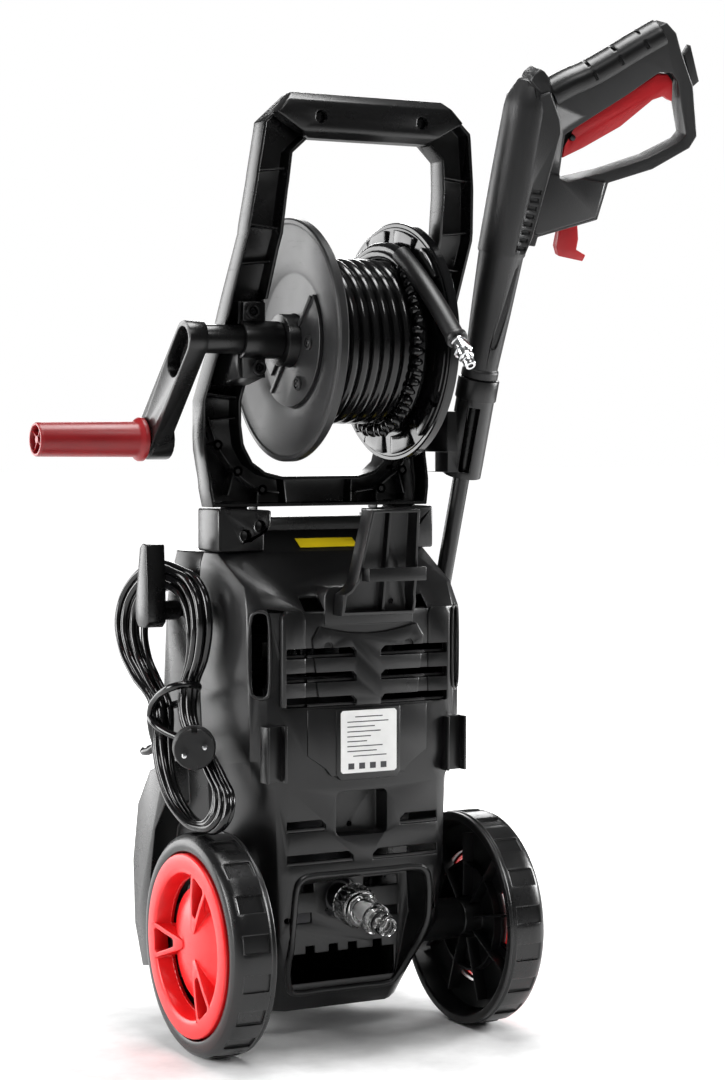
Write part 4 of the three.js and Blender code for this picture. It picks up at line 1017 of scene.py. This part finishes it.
    def cap_screws(self):
        """Two round screw heads on each bearing cap"""
        profile = ((-1.4, 3.8), (-3.2, 3.8), (-4, 3), (-4, 1.4), (-2.8, 1))
        for side, word in SIDES:
            parts = []
            for x, z in ((88, 613), (94, 663)):
                parts.append(turned("cap_screw", profile, (side * x, 0, z), "Y", 24))
            screws = joined(f"reel_cap_screws_{word}", parts)
            finish(screws, "machine", "satin", FINISH["gloss"])


# ---------------------------------------------------------------- refined frame nodes
# Node, finish and edge rounding in millimetres.
MOULDED = (("rear_cover", "body", 1.0), ("front_cover", "satin", 1.4), ("front_foot", "rubber", 1.2),
           ("handle_yoke", "satin", 2.4), ("handle_frame", "satin", 0.8), ("grip_cover", "satin", 1.6),
           ("grip_screw_left", "gloss", 0.3), ("grip_screw_right", "gloss", 0.3),
           ("reel_cap_left", "satin", 0.6), ("reel_cap_right", "satin", 0.6),
           ("accessory_holder", "body", 0.5), ("axle_left", "steel", 0.5), ("axle_right", "steel", 0.5),
           ("reel_drum", "satin", 0.8), ("crank_shaft", "satin", 0.8), ("reel_swivel", "alloy", 0.5),
           ("crank_arm", "satin", 0.9), ("crank_pin", "steel", 0.4), ("feed_hose", "rubber", 0),
           ("motor_housing", "alloy", 0.4), ("motor_winding", "copper", 0.4), ("motor_rotor", "steel", 0.3),
           ("pump_head", "alloy", 1.0), ("pump_outlet", "steel", 0.4), ("inlet_filter", "paper", 0),
           ("inlet_o_ring", "rubber", 0), ("switch_box", "body", 0.8), ("switch_knob", "red", 0.8),
           ("cord_hook", "satin", 1.2), ("cord_gland", "rubber", 0.6), ("gun_holster", "body", 0.5),
           ("gun_trigger", "gun_red", 1.2), ("gun_trigger_pin", "dark_steel", 0.3),
           ("gun_release", "gun_red", 0.6), ("gun_safety", "gun", 0.6), ("lance_tube", "satin", 0.4),
           ("lance_nozzle", "satin", 0.8))
SLOT_OF = {entry["node"]: entry["material_slot"] for entry in frame["record"]["subparts"]}
BODY_OF = {node: body for body, nodes in frame["record"]["behaviour"]["bodies"].items() for node in nodes}


class CoversOperator(bpy.types.Operator):
    """The moulded covers, frame, small gun parts and inner parts, with their edges rounded"""
    bl_idname = "washer.covers"
    bl_label = "Covers and castings"

    def execute(self, context):
        for node, finish_name, rounding in MOULDED:
            piece = frame_copy(node, f"{node}_moulded")
            if node == "rear_cover":
                rear_cover_cuts(piece)
            if rounding:
                bevelled(piece, rounding, 2, 34)
            else:
                smooth(piece, 50)
            finish(piece, BODY_OF[node], SLOT_OF[node], FINISH[finish_name], node)
        return {"FINISHED"}


def rear_cover_cuts(piece):
    """Cuts the side slots, screw wells, pocket hole and tub notches into the rear cover."""
    tools = []
    for side in (-1, 1):
        tools.append(block("side_slot", (side * 94, -60, 322), (side * 105.5, -20, 395), 2.5))
        tools.append(turned("screw_well", [(-45, 2.4), (-25, 2.4)], (side * 75, 0, 120), "Y", 20))
    tools.append(turned("pocket_hole", [(-25, 2.2), (-8, 2.2)], (-4, 0, 200), "Y", 20))
    for x in (-38, -14, 6, 32):
        tools.append(block("tub_notch", (x, 0, 78), (x + 9, 8, 87), 0))
    carve(piece, *tools)


# ---------------------------------------------------------------- spray gun
# Outlines hold x away from the lance and z along it, in the gun's own place.
HANDLE = ((2, 131), (27, 131), (28, 140), (82, 163), (86, 198), (126, 216), (158, 240), (163, 252),
          (150, 296), (134, 322), (124, 341), (113, 349), (107, 345), (112, 335), (90, 317), (66, 299),
          (46, 287), (30, 277), (14, 274), (0, 276))
GRIP_LINE = ((19, 269), (34, 280), (50, 289.5), (68, 302.5), (90, 320), (113, 337.5))
HAND_WINDOW = ((36, 236), (60, 256), (90, 281), (115, 304), (127, 305), (134, 298), (152, 252), (148, 245),
               (120, 226), (80, 207), (46, 194), (38, 196))
TRIGGER_ROOM = ((34, 212), (60, 226), (92, 250), (118, 268), (138, 274), (137, 302), (126, 315), (102, 318),
                (84, 300), (54, 268), (34, 246))
LOCK_BLOCK = ((83, 199), (80.5, 165), (30, 142.5), (22, 142.5), (24, 200))
COLLAR = ((-6, 279), (-5, 285), (1, 291.5), (6, 289.5), (12, 284), (22, 262), (18, 258))
FLANK = ((2, 122), (17, 122), (22, 140), (31, 238), (28, 249), (14, 273), (4, 268))
BARREL = ((-19.8, 11), (-19.8, 13.6), (0.4, 13.6), (0.4, 16.6), (1.2, 17.4), (8.4, 17.4), (9, 16.6),
          (9.2, 15.9), (60, 18.6), (118, 21), (119.5, 22), (121, 22.4), (190, 22.4), (254, 21.6),
          (263, 20.4), (274, 15), (279, 12.6), (281, 9))
BARREL_RECESS = ((18.4, 110), (14, 112.4), (10.8, 108), (0.6, 36), (1.6, 31), (5.4, 32), (7, 36))


class GunOperator(bpy.types.Operator):
    """The spray gun's shell with its hand window, vents and side recesses, and its soft grip"""
    bl_idname = "washer.gun"
    bl_label = "Spray gun"

    def execute(self, context):
        self.shell()
        self.soft_grip()
        return {"FINISHED"}

    def slab(self, name, outline, reach, bevel=0):
        """A plate in the gun's own plane, as thick to both sides"""
        return plate(name, outline, (-reach, reach), "XZ", bevel, GUN)

    def shell(self):
        """Handle, barrel, lock block and collar as one body, with its openings and vents"""
        shell = self.slab("gun_body_moulded", HANDLE, 14)
        barrel = turned("gun_barrel", BARREL, steps=72, place=GUN)
        lock = self.slab("gun_lock", LOCK_BLOCK, 16.4, 2.2)
        collar = self.slab("gun_collar", COLLAR, 15.6, 1.6)
        flank = self.slab("gun_flank", FLANK, 18.8, 1.4)
        fuse(shell, barrel, lock, collar, flank)
        window = self.slab("hand_window", HAND_WINDOW, 40)
        room = self.slab("trigger_room", TRIGGER_ROOM, 8)
        bore = turned("lance_bore", ((-30, 8.4), (62, 8.4)), steps=40, place=GUN)
        slot = block("release_slot", (46, -6, 120), (74, 6, 160), 0, GUN)
        seat = self.slab("slide_seat", ((140, 334), (165, 293), (153, 281), (134, 320)), 6)
        pivot = GUN @ Matrix.Translation((45 * MM, 0, 234 * MM)) @ Matrix.Rotation(math.pi / 2, 4, "X")
        pin = turned("pin_bore", ((-12.2, 2.9), (12.2, 2.9)), steps=20, place=pivot)
        carve(shell, window, room, bore, slot, seat, pin)
        for side in (-1, 1):
            carve(shell, plate("barrel_recess", BARREL_RECESS, (side * 14.2, side * 40), "XZ", 0, GUN))
            for index in range(8):
                x = 12.2 + index * 0.8
                z = 126.5 + index * 7.6
                low, high = (x - 4.5, side * 16.2, z), (x + 4.2, side * 30, z + 3.6)
                carve(shell, block("gun_vent", low, high, 0, GUN))
        bevelled(shell, 1.1, 3, 36)
        finish(shell, "gun", "satin", FINISH["gun"], "gun_body")

    def soft_grip(self):
        """The rubbery cover along the top of the handle, with three grooves round it"""
        line = [GUN @ (Vector((x, 0, z)) * MM) for x, z in GRIP_LINE]
        line = [(v.x / MM, v.y / MM - AXLE_Y, v.z / MM) for v in line]
        grip = cord_curve("gun_grip_cover", line, 0.0288, 8)
        grip.data.bevel_resolution = 10
        grip = meshed(grip, "gun_grip_cover")
        edit(grip)
        shape = bmesh.from_edit_mesh(grip.data)
        back = GUN.inverted()
        for vert in shape.verts:
            spot = back @ vert.co
            spot.y *= 1.2
            vert.co = GUN @ spot
        bmesh.update_edit_mesh(grip.data)
        bpy.ops.mesh.remove_doubles(threshold=1e-6)
        bpy.ops.mesh.normals_make_consistent(inside=False)
        leave()
        carve(grip, self.slab("hand_window", HAND_WINDOW, 40), self.slab("trigger_room", TRIGGER_ROOM, 9))
        for x, z in ((47, 301), (69, 318), (90, 336)):
            place = GUN @ Matrix.Translation(Vector((x, 0, z)) * MM)
            place = place @ Matrix.Rotation(math.radians(-39), 4, "Y")
            for side in (-1, 1):
                carve(grip, block("grip_groove", (-1.3, side * 15.9, -15), (1.3, side * 25, 12), 0, place))
            carve(grip, block("grip_groove", (-1.3, -25, -1.6), (1.3, 25, 12), 0, place))
        bevelled(grip, 0.5, 2, 40)
        finish(grip, "gun", "rubber", FINISH["grip_black"])


# ---------------------------------------------------------------- fittings on the covers
class FittingsOperator(bpy.types.Operator):
    """Louvres, lips, rims, clips, label pad and label, the frame's posts and the clear water inlet"""
    bl_idname = "washer.fittings"
    bl_label = "Fittings"

    def on_cover(self, name, parts):
        """Small black mouldings that belong to the rear cover, as one piece"""
        piece = joined(name, parts)
        finish(piece, "machine", "black", FINISH["body"])

    def execute(self, context):
        self.louvres()
        self.lower_lips()
        self.recess_rim()
        self.pocket_rims()
        self.clips()
        self.label()
        self.frame_posts()
        self.inlet()
        return {"FINISHED"}

    def louvres(self):
        """The raised louvre panel with a column on each side, and the bars inside its slots"""
        outline = [(-50, 311.4), (50, 311.4), (53, 340), (57, 372), (50, 383.4), (36, 380), (18, 376.8),
                   (0, 375.8), (-18, 376.8), (-36, 380), (-50, 383.4), (-57, 372), (-53, 340)]
        panel = plate("louvre_panel", outline, (-47.0, -43.4), "XZ", 1.5)
        column = ((62, 311.4), (62, 392), (66, 398), (82, 398), (86, 392), (86, 311.4))
        slot = ((12.4, -4.5), (12.4, 0.6), (16.4, 4.5), (82, 4.5), (82, -4.5))
        heights = (359.5, 337.8, 316)
        tools = []
        for side in (-1, 1):
            outline = [(side * x, z) for x, z in column]
            fuse(panel, plate("louvre_column", outline, (-45.4, -37.4), "XZ", 2.6))
            tools.append(turned("louvre_notch", ((-52, 4.6), (-44.4, 4.6)), (side * 41, 0, 364.6), "Y", 32))
            for z in heights:
                outline = [(side * x, z + up) for x, up in slot]
                tools.append(plate("louvre_slot", outline, (-60, -30), "XZ", 0))
        carve(panel, *tools)
        bevelled(panel, 0.45, 2, 50)
        bars = [panel]
        for side in (-1, 1):
            for z in heights:
                low, high = z - 4.4, z - 1.6
                bars.append(block("louvre_bar", (side * 12, -42.4, low), (side * 60, -38.6, high), 0.5))
                bars.append(block("louvre_bar", (side * 60, -39.8, low), (side * 82.4, -35, high), 0.5))
        panel = joined("louvre_panel_raised", bars)
        smooth(panel)
        finish(panel, "machine", "black", FINISH["body"])

    def lower_lips(self):
        """A lip inside each of the four lower slots"""
        bars = []
        for side in (-1, 1):
            for z, first in ((204, 38), (174, 10)):
                low, high = (side * first, -35.8, z - 4.8), (side * 77, -31.4, z - 1.8)
                bars.append(block("slot_lip", low, high, 0.6))
        self.on_cover("lower_slot_lips", bars)

    def pocket_rims(self):
        """The raised rims round the tall side pockets"""
        for side, word in SIDES:
            path = [(94, -34.6, 326), (94, -34.4, 391), (95.6, -33.2, 395.4), (104, -25, 395.4),
                    (106, -23, 391), (106, -23, 326), (104, -25, 321.6), (95.6, -33.4, 321.6)]
            self.closed_tube(f"pocket_rim_{word}", [(side * x, y, z) for x, y, z in path], 0.0032)

    def closed_tube(self, name, path, diameter):
        """A round rim that closes on itself"""
        rim = cord_curve(name, path, diameter, 6)
        rim.data.splines[0].use_cyclic_u = True
        rim.data.use_fill_caps = False
        rim = meshed(rim, name)
        edit(rim)
        bpy.ops.mesh.remove_doubles(threshold=1e-6)
        bpy.ops.mesh.normals_make_consistent(inside=False)
        leave()
        smooth(rim, 60)
        self.on_cover(name, [rim])

    def recess_rim(self):
        """The rim round the recess of the water inlet, across the bottom and up both sides"""
        half = [(0, 4.4, 45), (24, 4.4, 45), (46, 4.4, 45), (53, 3.6, 47), (57.4, 0, 54), (60.6, -4.4, 63),
                (64.4, -12.6, 76), (67, -23.4, 91), (69.6, -31.4, 108), (69.6, -34.6, 126),
                (67.6, -36.2, 148), (66, -36.5, 153), (61, -36.6, 157.4), (54, -36.6, 158.8),
                (30, -36.6, 159), (0, -36.6, 159)]
        self.closed_tube("recess_rim", half + [(-x, y, z) for x, y, z in half[-2:0:-1]], 0.0064)

    def clips(self):
        """An open clip on each side, for a nozzle or the lance"""
        for side, word in SIDES:
            parts = [block("clip_back", (side * 82, -39, 246), (side * 102, -33, 296), 0.6)]
            for x in (83.2, 100.8):
                low, high = (side * (x - 1.3), -47, 246), (side * (x + 1.3), -34, 296)
                parts.append(block("clip_lip", low, high, 0.7))
            self.on_cover(f"needle_clip_{word}", parts)

    def label(self):
        """The raised pad with the rating label, whose print is plain bars, and the deck's yellow film"""
        outline = [(-61, 309.6), (61, 309.6), (61, 268), (43, 256), (37, 248.4), (-37, 248.4), (-43, 256),
                   (-61, 268)]
        shield = plate("label_shield", outline, (-45.2, -42.4), "XZ", 1.1)
        outline = [(-28, 244.4), (28, 244.4), (33, 249.4), (33, 309), (-33, 309), (-33, 249.4)]
        pad = plate("label_pad", outline, (-46.4, -40), "XZ", 1.4)
        self.on_cover("label_pad_raised", [shield, pad])
        outline = [(-26.5, 250.6), (26.5, 250.6), (28.5, 252.6), (28.5, 304.8), (26.5, 306.8),
                   (-26.5, 306.8), (-28.5, 304.8), (-28.5, 252.6)]
        film = plate("rating_label_film", outline, (-46.8, -46.42), "XZ", 0)
        finish(film, "machine", "paper", FINISH["paper"], "rating_label")
        rows = []
        widths = ((-14, 14), (-22, 20), (-22, 6), (-22, 12), (-22, 2), (-22, -2), (-22, 14), (-22, 8),
                  (-16, 18))
        for index, (left, right) in enumerate(widths):
            z = 300.5 - index * 4.4
            rows.append(block("label_row", (left, -46.9, z), (right, -46.78, z + 0.9), 0))
        for x in (-18, -7, 4, 15):
            rows.append(block("label_mark", (x - 3, -46.9, 254), (x + 3, -46.78, 259.4), 0))
        print_rows = joined("rating_label_rows", rows)
        finish(print_rows, "machine", "paper", FINISH["ink"])
        sign = frame_copy("warning_label", "deck_label_film")
        finish(sign, "machine", "yellow", FINISH["yellow"], "warning_label")

    def frame_posts(self):
        """Screw posts and thin webs in the frame's lower corners"""
        profile = ((-24, 4.6), (-24, 2.4), (-8, 2.4), (-8, 1), (0, 1), (0, 4.8))
        spots = ((103, 544, 74), (86, 520, 68), (62, 503, 66))
        runs = (((103, 544), (86, 520)), ((86, 520), (62, 503)), ((86, 520), (92, 498)),
                ((62, 503), (40, 500)), ((62, 503), (63, 484)), ((103, 544), (112, 570)))
        posts = []
        for side in (-1, 1):
            for x, z, y in spots:
                posts.append(turned("frame_post", profile, (side * x, y, z), "Y", 24))
            for (xa, za), (xb, zb) in runs:
                run = math.hypot(xb - xa, zb - za)
                lean = math.atan2(zb - za, xb - xa)
                place = Matrix.Translation(at(side * (xa + xb) / 2, 60, (za + zb) / 2))
                place = place @ Matrix.Rotation(-side * lean, 4, "Y")
                posts.append(block("frame_web", (-run / 2, -8, -0.8), (run / 2, 8, 0.8), 0.25, place))
        ribs = joined("handle_frame_posts", posts)
        finish(ribs, "machine", "satin", FINISH["satin"])

    def inlet(self):
        """The clear ridged nut and the clear stepped coupling with its filter inside"""
        place = tilted((0, 0, INLET_Z), INLET_DROOP) @ Matrix.Rotation(math.radians(90), 4, "X")
        profile = [(11, 13.8), (11, 17.4), (12.4, 18.2), (29.6, 18.2), (31, 17.4), (31, 13.8)]
        nut = turned("nut_ring", profile, steps=64, ring=True, place=place)
        ridges = []
        for index in range(20):
            turn = place @ Matrix.Rotation(math.radians(index * 18), 4, "Z")
            ridges.append(block("nut_ridge", (17.6, -1.0, 12.6), (19.2, 1.0, 29.4), 0.35, turn))
        nut = joined("inlet_nut_clear", [nut] + ridges)
        smooth(nut)
        finish(nut, "machine", "clear", FINISH["clear"], "inlet_nut")
        profile = [(31.5, 15.2), (31.5, 16), (35.4, 16), (36.6, 15), (38, 12.8), (40, 12.2), (55, 11.9),
                   (56.4, 12.6), (57.6, 14.3), (60.6, 14.5), (61.8, 13.6), (63, 10), (64, 9.6), (70.4, 9.6),
                   (71, 9), (74, 9), (74.6, 9.6), (81.6, 9.5), (83, 8.6), (83, 6.2), (61, 6.2), (57.2, 9.4),
                   (40, 10), (33, 10.4)]
        bowl = turned("inlet_bowl_clear", profile, steps=64, ring=True, place=place)
        finish(bowl, "machine", "clear", FINISH["clear"], "inlet_bowl")


class WasherPanel(bpy.types.Panel):
    """Buttons for each group of pieces"""
    bl_idname = "VIEW3D_PT_washer"
    bl_label = "Pressure washer"
    bl_space_type = "VIEW_3D"
    bl_region_type = "UI"
    bl_category = "Washer"

    def draw(self, context):
        look = context.scene.washer_look
        for name in WasherLook.__annotations__:
            self.layout.prop(look, name)
        for operator in OPERATORS:
            self.layout.operator(operator.bl_idname)


OPERATORS = (StageOperator, CordsOperator, WheelsOperator, ReelOperator, CoversOperator, GunOperator,
             FittingsOperator)
CLASSES = (WasherLook, *OPERATORS, WasherPanel)


def register():
    """Registers the classes and the scene's own sizes and colours."""
    for item in CLASSES:
        bpy.utils.register_class(item)
    bpy.types.Scene.washer_look = PointerProperty(type=WasherLook)


def unregister():
    """Takes away all that register added."""
    del bpy.types.Scene.washer_look
    for item in reversed(CLASSES):
        bpy.utils.unregister_class(item)


def main():
    """Builds the machine step by step."""
    register()
    make_finishes(bpy.context.scene.washer_look)
    bpy.ops.washer.stage()
    bpy.ops.washer.cords()
    bpy.ops.washer.wheels()
    bpy.ops.washer.reel()
    bpy.ops.washer.covers()
    bpy.ops.washer.gun()
    bpy.ops.washer.fittings()


if __name__ == "__main__":
    main()
